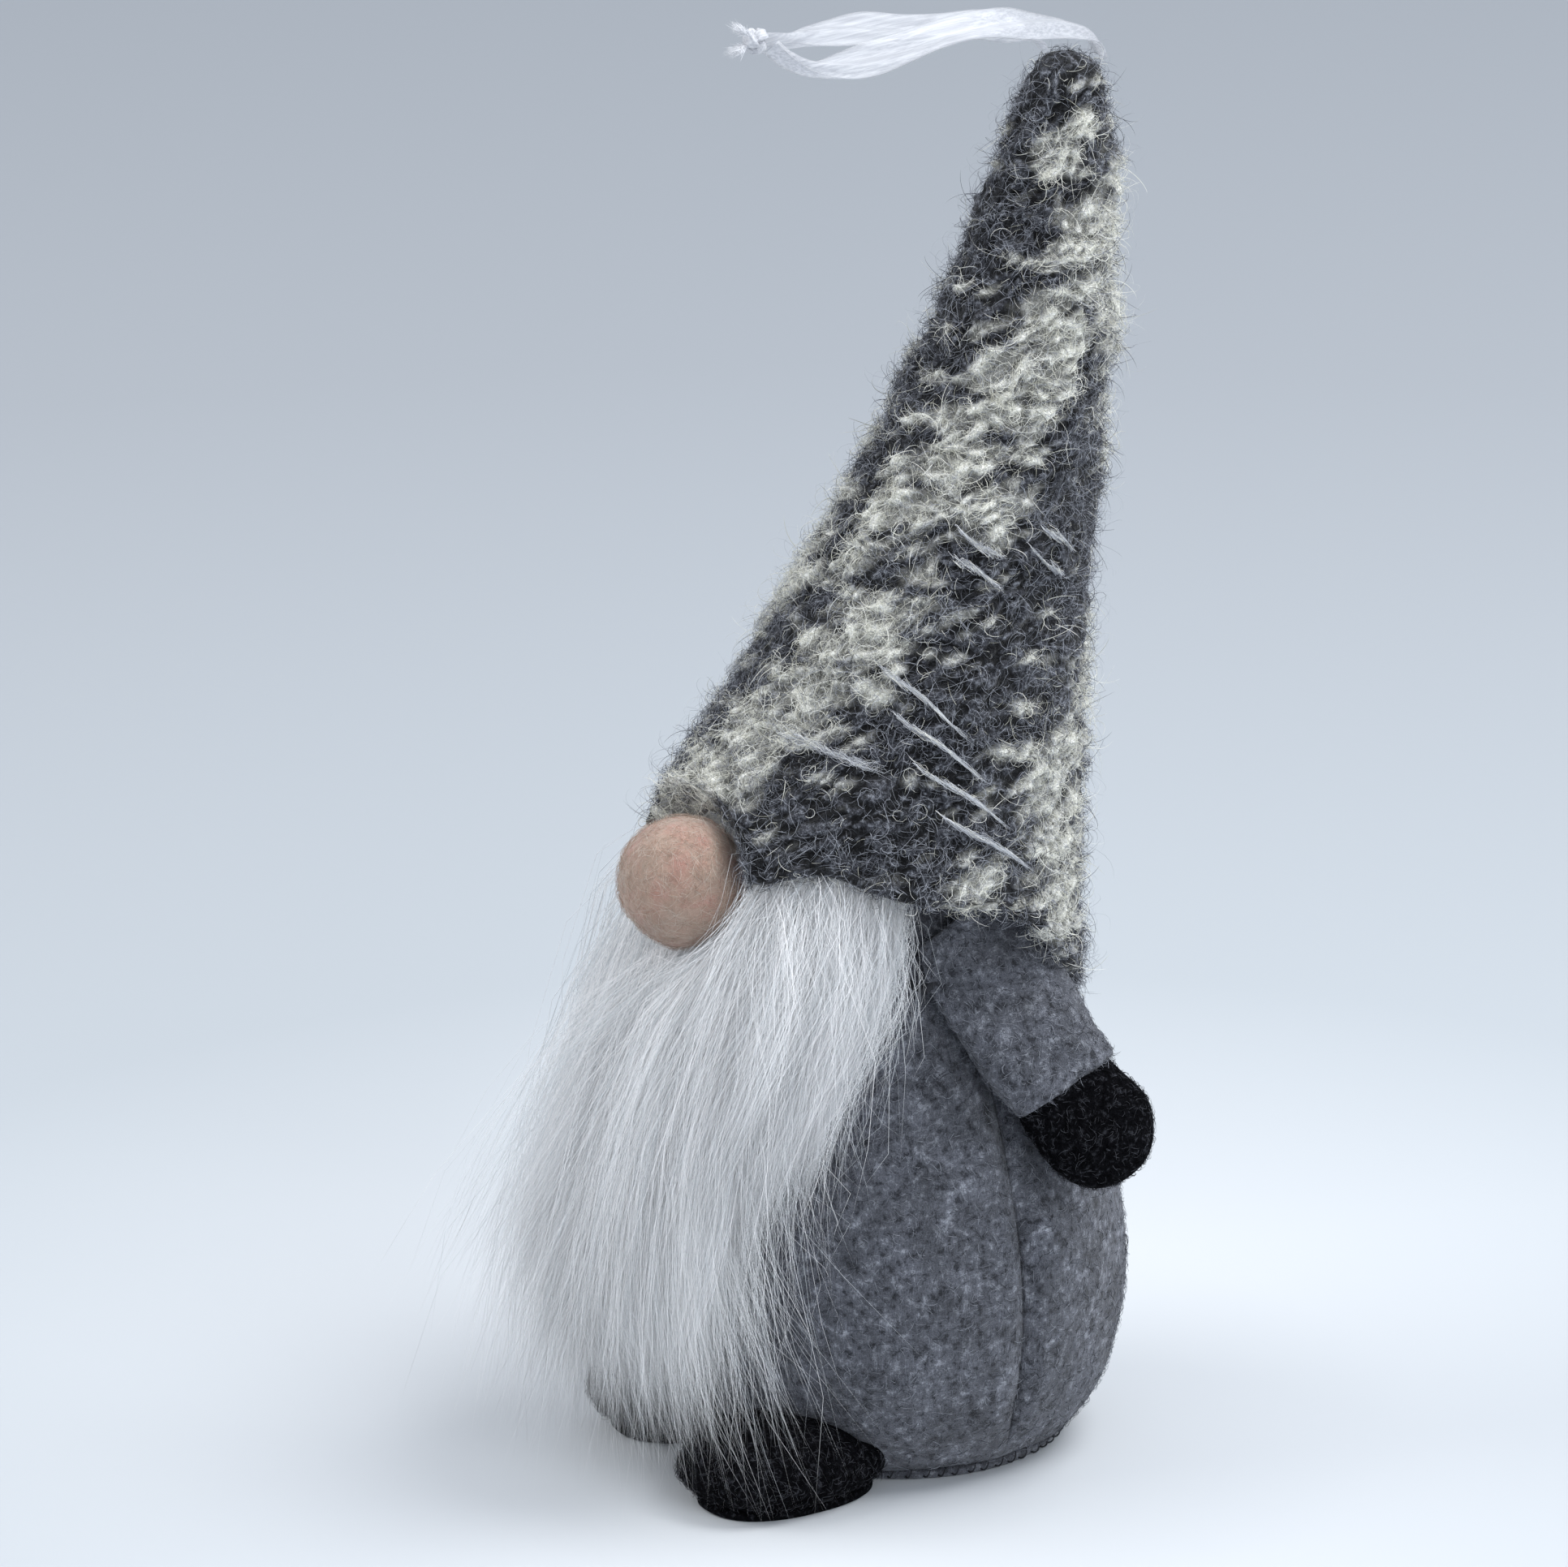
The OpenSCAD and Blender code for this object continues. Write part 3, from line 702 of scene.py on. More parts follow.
def add_arm(side, word):
    body = "arm_" + word
    # Sleeve: a flap under the brim, the flat hem, the outside, the cut edge, and inside the cuff
    down = np.linspace(-6, 24.2, 58)
    thick = np.interp(down, [-6, 0, 5, 11, 24.5], [1.6, 2.8, 5.8, 9.2, 11.2])
    wide = np.interp(down, [-6, -2, 0, 6, 11, 24.5], [13, 17.5, 18.6, 20.8, 20, 18.6])
    aside = np.interp(down, [-6, 0, 6, 11, 24.5], [-0.5, 0.2, 1.2, 0.6, 0.4])
    down = np.concatenate([down, [24.6, 24.5, 23.5, 20]]) * MM
    thick = np.concatenate([thick, [10.9, 10.2, 8.8, 7.5]]) * MM
    wide = np.concatenate([wide, [18.2, 17.4, 15.8, 15]]) * MM
    rings = arm_tube(down, thick, wide, cols=104)
    rings[..., 0] += 0.25 * np.maximum(-down, 0)[:, None]
    rings[..., 1] += np.concatenate([aside, np.full(4, 0.4)])[:, None] * MM
    cap = np.repeat(rings[0].mean(0)[None], rings.shape[1], 0)[None]
    rings = np.concatenate([cap, rings])
    sleeve, sleeve_points, sleeve_faces = stuffed(
        "sleeve_felt_" + word, rings, side, GREY_FELT, 40 + side,
        list(range(14)) + list(range(57, 63)), 0.3 * MM, finer=False)
    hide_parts("sleeve_" + word)
    bend_at_shoulder(sleeve)
    # Mitten: a rounded pad that starts inside the cuff
    share = np.sin(np.linspace(0, 1, 18) * math.pi / 2)
    down = SLEEVE_LEN + MITTEN_LEN * share
    swell = np.sqrt(np.clip(1 - np.clip((share - 0.45) / 0.55, 0, 1) ** 2, 0, 1))
    thick = np.maximum((10.2 + 2.2 * np.clip(share / 0.4, 0, 1)) * swell, 0.02) * MM
    wide = np.maximum((16.9 + 2.0 * np.clip(share / 0.4, 0, 1)) * swell, 0.02) * MM
    tuck = arm_tube(np.array([21.5, 23.6]) * MM, np.array([8.6, 9.6]) * MM, np.array([15.2, 16.4]) * MM,
                    flat=0.95)
    rings = np.concatenate([tuck, arm_tube(down, thick, wide, flat=0.95)])
    rings[..., 1] += 0.3 * MM
    mitten, mitten_points, mitten_faces = stuffed(
        "mitten_felt_" + word, rings, side, BLACK_FELT, 50 + side, [0, 1, 2], 0.3 * MM)
    finish_piece(mitten, body, ["mitten_" + word])
    draw = np.random.default_rng(60 + side)
    for name, points, faces, count, shades, slot in (
        ("sleeve_nap_", sleeve_points, sleeve_faces, 5000, BODY_FIBRES, "grey_felt"),
        ("mitten_nap_", mitten_points, mitten_faces, 2600, BLACK_FIBRES, "black_felt"),
    ):
        place, out, _ = scatter(points, faces, count, draw)
        paths = curled(place, out, draw, 1.9 * MM, 0.4 * MM, 2.4, 4, 0.008)
        nap = hairs(name + word, paths, draw.uniform(0.05, 0.1, count) * MM, shades,
                    draw.integers(0, len(shades), count))
        if slot == "grey_felt":
            bend_at_shoulder(nap)
        else:
            finish_piece(nap, body)


# ---------------------------------------------------------------- boots

def from_boot(points, side):
    """Points of a boot's own frame, its toe's centre at 0 and facing -Y, in the row frame."""
    (x, y), (dx, dy) = BOOTS_MM[side]
    size = math.hypot(dx, dy)
    placed = points.copy()
    placed[..., 0] = x * MM + (points[..., 0] * dy + points[..., 1] * dx) / size
    placed[..., 1] = y * MM + (points[..., 1] * dy - points[..., 0] * dx) / size
    return placed


def add_boot(side, word):
    """Toe-cap boot of black felt: it rests on its sole and tucks in under the belly."""
    rows, cols = 34, 72
    lat = np.linspace(-math.pi / 2, math.pi / 2, rows)[:, None]
    turn = (np.arange(cols) * 2 * math.pi / cols)[None]
    level = np.abs(np.cos(lat)) ** np.where(lat < 0, 0.5, 0.85)
    x = level * np.sign(np.sin(turn)) * np.abs(np.sin(turn)) ** 0.85 * 12.3 * MM
    y = 4.6 * MM - level * np.sign(np.cos(turn)) * np.abs(np.cos(turn)) ** 0.85 * 16.9 * MM
    z = np.sin(lat) * np.where(lat < 0, 5.6, 6.6) * MM * np.ones_like(turn)
    # The instep is lower than the toe and narrower
    back = smooth_step(y, 0.001, 0.021)
    points = np.stack([x * (1 - 0.14 * back), y, (z + 6.2 * MM) * (1 - 0.12 * back)], -1).reshape(-1, 3)
    faces = grid_faces(rows, cols)
    lumps = (field(points, 7 * MM, 70 + side) * 0.45 + field(points, 3 * MM, 72 + side) * 0.2) * MM
    points = points + normals_of(points, faces) * (lumps * (points[:, 2] > 2.5 * MM))[:, None]
    inner = points * 0.8 + np.array([0, 0.9, 1.4]) * MM
    points = clear_of_body(from_boot(points, side), 0.4 * MM) * np.array([side, 1, 1])
    inner = clear_of_body(from_boot(inner, side), 1.6 * MM) * np.array([side, 1, 1])
    if side < 0:
        faces = faces[:, ::-1]
    boot = make_mesh("boot_felt_" + word, points, faces)
    boot.data.materials.append(BLACK_FELT)
    refine(boot)
    weld(boot)
    finish_piece(boot, "torso", ["boot_upper_" + word])
    filling = make_mesh("boot_fibrefill_" + word, inner, faces)
    filling.data.materials.append(FILLING)
    finish_piece(filling, "torso", ["boot_filling_" + word])
    add_sole(side, word)
    draw = np.random.default_rng(80 + side)
    place, out, _ = scatter(points, faces, 5500, draw)
    from_axis = np.hypot(place[:, 0], place[:, 1])
    seen = (place[:, 2] > 1.2 * MM) & (from_axis > body_radius(place[:, 2]) + 1.5 * MM)
    place, out = place[seen], out[seen]
    paths = curled(place, out, draw, 2.0 * MM, 0.45 * MM, 2.4, 4, 0.01)
    paths[..., 2] = np.maximum(paths[..., 2], 0.3 * MM)
    nap = hairs("boot_nap_" + word, paths, draw.uniform(0.05, 0.1, len(place)) * MM, BLACK_FIBRES,
                draw.integers(0, 3, len(place)))
    finish_piece(nap, "torso")


def clear_of_body(points, gap):
    """Pushes points that are inside the body's felt out of it, level with the floor."""
    reach = np.hypot(points[:, 0], points[:, 1])
    room = body_radius(points[:, 2]) + gap
    push = np.maximum(room / np.maximum(reach, 1e-9), 1)
    moved = points.copy()
    moved[:, :2] *= push[:, None]
    return moved


def add_sole(side, word):
    """Flat felt sole with a rounded edge."""
    turn = np.arange(64) * 2 * math.pi / 64
    x = np.sign(np.sin(turn)) * np.abs(np.sin(turn)) ** 0.85 * 9.6
    y = -np.sign(np.cos(turn)) * np.abs(np.cos(turn)) ** 0.85 * 14.2
    rows = []
    for grow, height in ((0.02, 0), (0.96, 0), (1, 0.35), (1, 1.05), (0.96, 1.4), (0.02, 1.4)):
        rows.append(np.stack([x * grow, y * grow + 4.8, np.full(64, height)], 1))
    points = clear_of_body(from_boot(np.concatenate(rows) * MM, side), 0.6 * MM)
    points = points * np.array([side, 1, 1])
    faces = grid_faces(len(rows), 64)
    sole = make_mesh("boot_sole_felt_" + word, points, faces if side > 0 else faces[:, ::-1])
    sole.data.materials.append(BLACK_FELT)
    finish_piece(sole, "torso", ["boot_sole_" + word])


# ---------------------------------------------------------------- hat

HAT_AXIS_MM = [(-6.5, 87.7), (6.3, 135), (26.5, 168.3), (30.8, 216)]
# Radius of the hat at distances from its tip along the axis
HAT_RADII_MM = [(0, 0.3), (0.8, 3.0), (2.2, 4.8), (4.5, 6.2), (8, 7), (14, 7.8), (21, 9.2), (28, 10.7),
                (38, 12.5), (47, 14.2), (63, 17), (78, 20.1), (94, 23.9), (106, 26.8), (116, 29.9),
                (128, 33.6), (140, 36), (160, 38)]
BRIM_SLOPE = math.radians(33)
# Rows of evenly spaced marks on the hat: angle from the front in degrees and distance from the
# tip of the first, the same two steps on to the next, how many, and two sizes. A cream patch's
# sizes are its half length and half width
CREAM_ROWS_MM = [
    (66, 13, 9, 15, 2, 4, 2.8), (74, 42, -18, 10, 4, 7, 5), (4, 83, 0, 0, 1, 6, 2.5),
    (24, 93, -10, 9, 4, 8, 5.5), (110, 106, 5, 10, 3, 7, 5), (90, 36, -32, 34, 2, 4.5, 3.5),
    (140, 92, -60, 32, 2, 4, 2.5), (-42, 92, -16, -11, 7, 8.5, 5.5), (-70, 112, -18, -8, 4, 9, 6),
    (-145, 76, -21, -13, 5, 8, 5.5), (-150, 124, -20, -11, 4, 8.7, 5.7),
]
# A pale yarn end's sizes are how far round in degrees and how far down it runs
YARN_END_ROWS_MM = [
    (36, 96, 10, 6, 4, 27, 5), (13, 110, 0, 0, 1, 29, 0), (50, 78, -2, -4, 2, 18, 1.5),
    (82, 74, 3, -4, 2, 16, 2), (-60, 92, -6, 8, 2, 20, 6), (-150, 88, -6, 9, 2, 22, 6),
    (168, 70, 0, 0, 1, 22, 6), (160, 108, 0, 0, 1, 16, 5),
]


class Hat:
    """The hat's curved axis, and points on its surface by angle and distance from the tip."""

    def __init__(self):
        t = np.linspace(-0.45, 1, 600)
        p = np.array(HAT_AXIS_MM) * MM
        curve = on_curve(p, np.maximum(t, 0))
        curve += np.minimum(t, 0)[:, None] * 3 * (p[1] - p[0])
        step = np.linalg.norm(np.diff(curve, axis=0), axis=1)
        self.to_tip = np.concatenate([np.cumsum(step[::-1])[::-1], [0]])[::-1]
        self.curve = curve[::-1]
        self.heading = unit(np.gradient(curve, axis=0))[::-1]

    def smooth(self, angle, tip_distance, lift=0.0):
        """Point on the hat lift metres outside its surface, before the nose pushes the brim."""
        y, z, ty, tz = (np.interp(tip_distance, self.to_tip, v)
                        for v in (*self.curve.T, *self.heading.T))
        radii = np.array(HAT_RADII_MM) * MM
        turn = (angle + math.pi) % (2 * math.pi) - math.pi
        flare = 2.8 * np.exp(-((turn / 0.8) ** 2)) - 1.3 * np.exp(-(((np.abs(turn) - 2.5) / 0.7) ** 2))
        low = smooth_step(tip_distance, 0.104, 0.122)
        radius = np.interp(tip_distance, radii[:, 0], radii[:, 1]) + lift + low * flare * MM
        front = radius * np.cos(angle)
        return np.stack([radius * np.sin(angle), y - tz * front, z + ty * front], -1)

    def at(self, angle, tip_distance, lift=0.0):
        """As smooth, with the brim lying over the nose."""
        room = (NOSE_R + 4.6 * MM + np.asarray(lift))[..., None]
        return clear_of(self.smooth(angle, tip_distance, lift), NOSE_CENTRE, room)

    def edge(self, angle, raise_by=0.0):
        """Distance from the tip at which the sloping brim cuts the hat, at each angle."""
        d = np.linspace(70, 185, 400) * MM
        p = self.smooth(angle[:, None], d[None])
        over = 6 * MM * np.exp(-((p[..., 1] / (13 * MM)) ** 2)) * (np.abs(p[..., 0]) > 15 * MM)
        height = ((p[..., 1] + 6.3 * MM) * math.sin(BRIM_SLOPE)
                  + (p[..., 2] - 87.7 * MM) * math.cos(BRIM_SLOPE)) - over - raise_by
        found = np.array([np.interp(0, -h, d) for h in height])
        # The brim hangs lower beside the nose than over it
        turn = np.abs(np.degrees((angle + math.pi) % (2 * math.pi) - math.pi))
        drop = 5.8 * np.exp(-(((turn - 21) / 13) ** 2)) + 1.3 * (1 - smooth_step(turn, 50, 75))
        return found + drop * MM


HAT = Hat()


def flat_hat(angle, d):
    """Place on the unrolled hat: right and up, in metres."""
    return angle * np.interp(d, *(np.array(HAT_RADII_MM).T * MM)), -d


def marks_of(rows):
    """Angle, distance from the tip and two sizes of every mark in the rows."""
    for degrees, at, step_degrees, step_at, count, first_size, second_size in rows:
        for k in range(count):
            yield degrees + k * step_degrees, at + k * step_at, first_size, second_size


def cream_amount(angle, d):
    """1 in the middle of a cream band, 0 in the grey yarn."""
    total = np.zeros_like(angle)
    for degrees, at, long, wide in marks_of(CREAM_ROWS_MM):
        turn = (angle - math.radians(degrees) + math.pi) % (2 * math.pi) - math.pi
        x, y = flat_hat(turn, d)
        x, y = x / MM, y / MM + at
        along, across = x * 0.77 + y * 0.64, y * 0.77 - x * 0.64
        total = np.maximum(total, np.exp(-((along / (long * 1.6)) ** 2) - (across / (wide * 1.5)) ** 2))
    x, y = flat_hat(angle, d)
    flat = np.stack([x * 0.77 + y * 0.64, 1.9 * (y * 0.77 - x * 0.64)], -1)
    breakup = 0.26 * field(flat, 6 * MM, 91) + 0.24 * field(flat, 3 * MM, 92)
    return smooth_step(total + breakup, 0.28, 0.78)


def slubs(angle, d):
    """1 on the yarn's fluffy bumps and 0 in the gaps; their rows climb to the right."""
    x, y = flat_hat(angle, d)
    flat = np.stack([x, y], -1)
    x = x + 1.4 * MM * field(flat, 6 * MM, 95)
    y = y + 1.4 * MM * field(flat, 5 * MM, 96)
    along, across = x * 0.82 + y * 0.57, y * 0.82 - x * 0.57
    bumps = np.cos(math.pi * along / (2.7 * MM)) * np.cos(math.pi * across / (1.5 * MM))
    return smooth_step(bumps + 0.5 * field(flat, 3 * MM, 97), -0.4, 0.8)


def knit_relief(angle, d):
    """Height of the knit's stitches above the smooth hat."""
    x, y = flat_hat(angle, d)
    stitches = field(np.stack([(x + y) * 0.35, y - x], -1), 1.25 * MM, 93, 24)
    lumps = field(np.stack([x, y], -1), 9 * MM, 94)
    bumps = slubs(angle, d) * (0.7 + 0.6 * cream_amount(angle, d))
    return stitches * 0.25 * MM + lumps * 0.5 * MM + (bumps - 0.6) * MM


def hat_fold(angle, d):
    """The small fold under the tip, deepest at the gnome's left."""
    near = 0.5 + 0.5 * np.cos(angle - math.radians(60))
    line = 19.5 * MM + 1.2 * MM * np.sin(angle * 2)
    groove = np.exp(-(((d - line) / (1.1 * MM)) ** 2))
    roll = np.exp(-(((d - line + 2.6 * MM) / (1.8 * MM)) ** 2))
    return (0.8 * roll - 1.5 * groove) * MM * near


def hat_material():
    """Felted yarn: near-black and blue-grey fibres, cream where the tint says so, and painted shade in the
    gaps between the bumps.
    """
    material, tree, shader = new_material("hat_wool", 0.95, 0.2, 0.12)
    curls = noise(tree, 0.9 * MM, detail=5, rough=0.7)
    streaks = fibre_streaks(tree, 1.6 * MM, 0.2 * MM)
    wool = ramp(tree, curls, [(0.38, (0.006, 0.006, 0.008)), (0.52, (0.06, 0.063, 0.075)),
                              (0.66, (0.26, 0.275, 0.31))])
    cream = ramp(tree, curls, [(0.3, (0.34, 0.34, 0.29)), (0.42, (0.78, 0.775, 0.69)),
                               (0.6, (0.98, 0.975, 0.92))])
    tint = tree.nodes.new("ShaderNodeAttribute")
    tint.attribute_name = "cream"
    gaps = tree.nodes.new("ShaderNodeAttribute")
    gaps.attribute_name = "slubs"
    # Painted shade: the grey wool darkens to a tenth of its colour in the gaps between the yarn's bumps,
    # where shade falls.
    depth = ramp(tree, gaps.outputs["Fac"], [(0.15, grey(0.10)), (0.6, grey(1.0))])
    colour = mix(tree, tint.outputs["Fac"], mix(tree, 1.0, wool, depth, "MULTIPLY"), cream)
    shine = ramp(tree, streaks, [(0.5, grey(0.6)), (0.72, grey(1.7))])
    colour = mix(tree, 0.8, colour, shine, "MULTIPLY")
    tree.links.new(colour, shader.inputs["Base Color"])
    add_bump(tree, shader, curls, 0.7 * MM, 0.9)
    return material


def hat_grid(inset, rows, cols, raise_by, hem):
    """Rings of the hat: up inside the rolled brim, round it, and up the outside to the tip."""
    angle = np.linspace(-math.pi, math.pi, cols, endpoint=False)
    edge = HAT.edge(angle, raise_by)
    share = np.linspace(0, 1, rows) ** 0.92
    top = 2 * inset
    d = top + (edge[None] - top) * (1 - share[:, None])
    turn = np.repeat(angle[None], rows, 0)
    roll_r = 1.6 * MM
    above = [(12 * MM, 2), (8 * MM, 2), (4 * MM, 2)]
    above += [(roll_r * (1 - math.sin(b)), 1 - math.cos(b)) for b in np.linspace(math.pi, 0.35, 6)]
    hem_d = np.stack([edge - up for up, _ in above])
    hem_in = np.stack([np.full(cols, -roll_r * k) for _, k in above])
    d = np.concatenate([hem_d, np.minimum(d, edge - roll_r * (1 - share[:, None]) * 0.9)])
    turn = np.concatenate([np.repeat(angle[None], len(above), 0), turn])
    lift = np.concatenate([hem_in, np.zeros((rows, cols))]) - inset
    if hem:
        shown = np.concatenate([np.linspace(0, 1, len(above)), np.ones(rows)])[:, None]
        lift = lift + shown * (knit_relief(turn, d) + hat_fold(turn, d)) * smooth_step(d, 0, 6 * MM)
    return turn, d, HAT.at(turn, d, lift)


def add_hat():
    cols = 360
    turn, d, points = hat_grid(0.0, 240, cols, 1.2 * MM, True)
    rows = len(points)
    flat, faces = points.reshape(-1, 3), grid_faces(rows, cols)
    hat = make_mesh("hat_knit_wool", flat, faces)
    bumps = slubs(turn, d).ravel()
    # The cream's share is lower in the gaps between bumps, so the painted gap shade of the grey wool shows
    # there as well.
    cream = cream_amount(turn, d).ravel() * (0.35 + 0.65 * bumps)
    for label, values in (("cream", cream), ("slubs", bumps)):
        layer = hat.data.attributes.new(label, "FLOAT", "POINT")
        layer.data.foreach_set("value", values.astype(np.float32))
    hat.data.materials.append(hat_material())
    finish_piece(hat, "torso", ["hat_knit"])
    _, _, inner = hat_grid(2.9 * MM, 60, 96, 3.4 * MM, False)
    inner = np.concatenate([inner, np.repeat(inner[-1].mean(0)[None, None], 96, 1)])
    lining = make_mesh("hat_lining_cloth", inner.reshape(-1, 3), grid_faces(len(inner), 96))
    lining.data.materials.append(plain_cloth("lining_cloth", (0.55, 0.55, 0.53), 0.5 * MM))
    finish_piece(lining, "torso", ["hat_lining"])
    _, _, inner = hat_grid(4.5 * MM, 50, 72, 14 * MM, False)
    inner = inner[8:]
    ends = [np.repeat(inner[row].mean(0)[None, None], 72, 1) for row in (0, -1)]
    inner = np.concatenate([ends[0], inner, ends[1]])
    stuffing = make_mesh("hat_fibrefill", inner.reshape(-1, 3), grid_faces(len(inner), 72))
    stuffing.data.materials.append(FILLING)
    finish_piece(stuffing, "torso", ["hat_stuffing"])
    add_hat_fibres(flat, faces, cream, bumps)


def add_hat_fibres(points, faces, cream, bumps):
    draw = np.random.default_rng(101)
    dark = [fibre("wool_black", (0.005, 0.005, 0.007)), fibre("wool_slate", (0.05, 0.052, 0.062)),
            fibre("wool_blue_grey", (0.18, 0.19, 0.22)), fibre("wool_silver", (0.46, 0.48, 0.53))]
    pale = [fibre("wool_cream_shadow", (0.60, 0.59, 0.50)), fibre("wool_cream", (0.90, 0.89, 0.80)),
            fibre("wool_cream_light", (0.94, 0.935, 0.87))]
    for part in range(4):
        count = 4900
        place, out, quad = scatter(points, faces, count, draw, 0.35 + 0.65 * bumps)
        is_cream = draw.random(count) < cream[faces[quad]].mean(1) + 0.04
        paths = curled(place, out, draw, 5.5 * MM, 0.8 * MM, 6.5, 8, 0.02)
        shades = np.where(is_cream, draw.choice([4, 5, 6], count, p=[0.2, 0.4, 0.4]),
                          draw.choice([0, 1, 2, 3], count, p=[0.32, 0.25, 0.28, 0.15]))
        widths = np.where(is_cream, 0.09, 0.07) * draw.uniform(0.7, 1.3, count) * MM
        wool = hairs(f"hat_wool_curls_{part + 1}", paths, widths, dark + pale, shades)
        finish_piece(wool, "torso")
    # Short soft fluff: cream on the bumps, blue-grey everywhere
    mist = 0.15 + smooth_step(field(points, 9 * MM, 103) + 0.6 * field(points, 4 * MM, 104), -0.5, 1.0)
    on_cream, on_grey = cream + 0.02, (0.1 + bumps) * (1.1 - cream) * mist
    for part, (weight, shades) in enumerate(((on_cream, [5, 5, 6]), (on_cream, [3, 4, 5]),
                                             (on_grey, [1, 2, 3]), (on_grey, [0, 1, 3]))):
        count = 12000
        place, out, _ = scatter(points, faces, count, draw, weight)
        paths = curled(place, out, draw, 2.8 * MM, 0.8 * MM, 3.0, 4, 0.02)
        fluff = hairs(f"hat_wool_fluff_{part + 1}", paths, draw.uniform(0.045, 0.10, count) * MM,
                      dark + pale, draw.choice(shades, count))
        finish_piece(fluff, "torso")
    # Fine halo: longer, thinner fibres that stand off the surface
    count = 4500
    place, out, quad = scatter(points, faces, count, draw)
    paths = curled(place, out, draw, 6.0 * MM, 2.6 * MM, 3.5, 7, 0.03)
    shades = np.where(draw.random(count) < cream[faces[quad]].mean(1), 6, 3)
    halo = hairs("hat_wool_halo", paths, draw.uniform(0.03, 0.055, count) * MM, dark + pale, shades)
    finish_piece(halo, "torso")
    add_yarn_ends(draw, [dark[3], fibre("yarn_pale", (0.72, 0.74, 0.77)), pale[2]])


def add_yarn_ends(draw, materials):
    """Ends of pale yarn laid slantwise over the knit: many short fibres along each."""
    paths = []
    for degrees, at, run_degrees, run_at in marks_of(YARN_END_ROWS_MM):
        fibres, steps = 120, 6
        start = draw.uniform(-0.05, 0.95, (fibres, 1))
        run = start + np.linspace(0, 1, steps)[None] * draw.uniform(0.15, 0.42, (fibres, 1))
        angle = np.radians(degrees + run_degrees * run)
        d = (at + run_at * run + 0.35 * np.sin(run * 5 + at)) * MM
        radius = np.interp(d, *(np.array(HAT_RADII_MM).T * MM))
        spread = draw.normal(0, 0.42, (2, fibres, 1)) + draw.normal(0, 0.3, (2, fibres, steps))
        spread = spread + draw.normal(0, 0.8, (2, fibres, 1)) * (run - run.mean(1, keepdims=True)) * 2
        lift = (1.2 + 0.6 * spread[0]) * MM
        paths.append(HAT.at(angle + spread[1] * MM / radius, d + spread[1] * 0.8 * MM, lift))
    paths = np.concatenate(paths)
    shades = draw.choice(3, len(paths), p=[0.25, 0.55, 0.2])
    yarns = hairs("hat_pale_yarn_ends", paths, draw.uniform(0.05, 0.1, len(paths)) * MM, materials, shades)
    finish_piece(yarns, "torso")


# ---------------------------------------------------------------- nose

def add_nose():
    rows, cols = 60, 96
    lat = np.linspace(-math.pi / 2, math.pi / 2, rows)[:, None]
    turn = (np.arange(cols) * 2 * math.pi / cols)[None]
    ball = np.stack([np.cos(lat) * np.cos(turn), np.cos(lat) * np.sin(turn),
                     np.sin(lat) * np.ones_like(turn)], -1).reshape(-1, 3)
    lumps = field(ball * NOSE_R, 6 * MM, 111) * 0.22 * MM + field(ball * NOSE_R, 2.2 * MM, 112) * 0.08 * MM
    points = NOSE_CENTRE + ball * (NOSE_R - 0.3 * MM + lumps)[:, None]
    faces = grid_faces(rows, cols)
    nose = make_mesh("nose_wool_ball", points, faces)
    weld(nose)
    material, tree, shader = new_material("nose_wool", 0.9, 0.35, 0.15)
    shader.inputs["Subsurface Weight"].default_value = 0.15
    shader.inputs["Subsurface Radius"].default_value = (0.004, 0.002, 0.0015)
    streaks = fibre_streaks(tree, 3 * MM, 0.15 * MM)
    blush = ramp(tree, noise(tree, 6 * MM, detail=2),
                 [(0.35, (0.42, 0.32, 0.255)), (0.55, (0.45, 0.315, 0.25)), (0.72, (0.47, 0.27, 0.22))])
    shine = ramp(tree, streaks, [(0.5, grey(0.85)), (0.72, grey(1.18))])
    tree.links.new(mix(tree, 0.7, blush, shine, "MULTIPLY"), shader.inputs["Base Color"])
    add_bump(tree, shader, streaks, 0.25 * MM, 0.6)
    nose.data.materials.append(material)
    finish_piece(nose, "torso", ["nose_ball"])
    draw = np.random.default_rng(120)
    count = 5200
    place, out, _ = scatter(points, faces, count, draw)
    paths = curled(place, out, draw, 3.6 * MM, 0.5 * MM, 2.2, 6, NOSE_R * 0.92)
    shades = [fibre("nose_peach", (0.48, 0.36, 0.28)), fibre("nose_pink", (0.50, 0.30, 0.24)),
              fibre("nose_pale", (0.70, 0.62, 0.54))]
    nap = hairs("nose_wool_nap", paths, draw.uniform(0.03, 0.055, count) * MM, shades,
                draw.choice(3, count, p=[0.5, 0.2, 0.3]))
    finish_piece(nap, "torso")


# ---------------------------------------------------------------- beard

# Angle from the front at which the fur's edge hangs, by height
FUR_EDGE = np.array([(12, 31), (30, 30), (47, 31), (52, 32), (61, 35), (75, 44), (80, 49), (89, 54),
                     (98, 55)], float)
# Radius and height of the pile's outermost and innermost hairs, as curves in millimetres
OUTER_MM = [(24, 92), (33, 121), (43, 88), (50, 50), (50, 9)]
INNER_MM = [(27, 62), (31, 60), (38, 54), (40, 42), (41, 13)]
SWEEP = np.array([-0.574, -0.819, 0.0])
# The fur stays out of these ellipsoids, round the boots and the nose: centre and half sizes
KEEP_CLEAR_MM = [((14.5, -31, 6.5), (13.2, 19, 8)), ((-18.2, -23.7, 6.5), (13.2, 19, 8)),
                 ((2, -46, 97.2), (12.5, 19, 11.5))]
# How far hairs reach along the sweep, to the gnome's right and forwards, and the room that the
# longest have past each of these
SWEEP_REACH, SWEEP_ROOM = 60 * MM, 13 * MM
SIDE_REACH, FRONT_REACH, REACH_ROOM = 49 * MM, 70 * MM, 6 * MM


def fur_edge(z):
    return np.radians(np.interp(z / MM, FUR_EDGE[:, 0], FUR_EDGE[:, 1]))


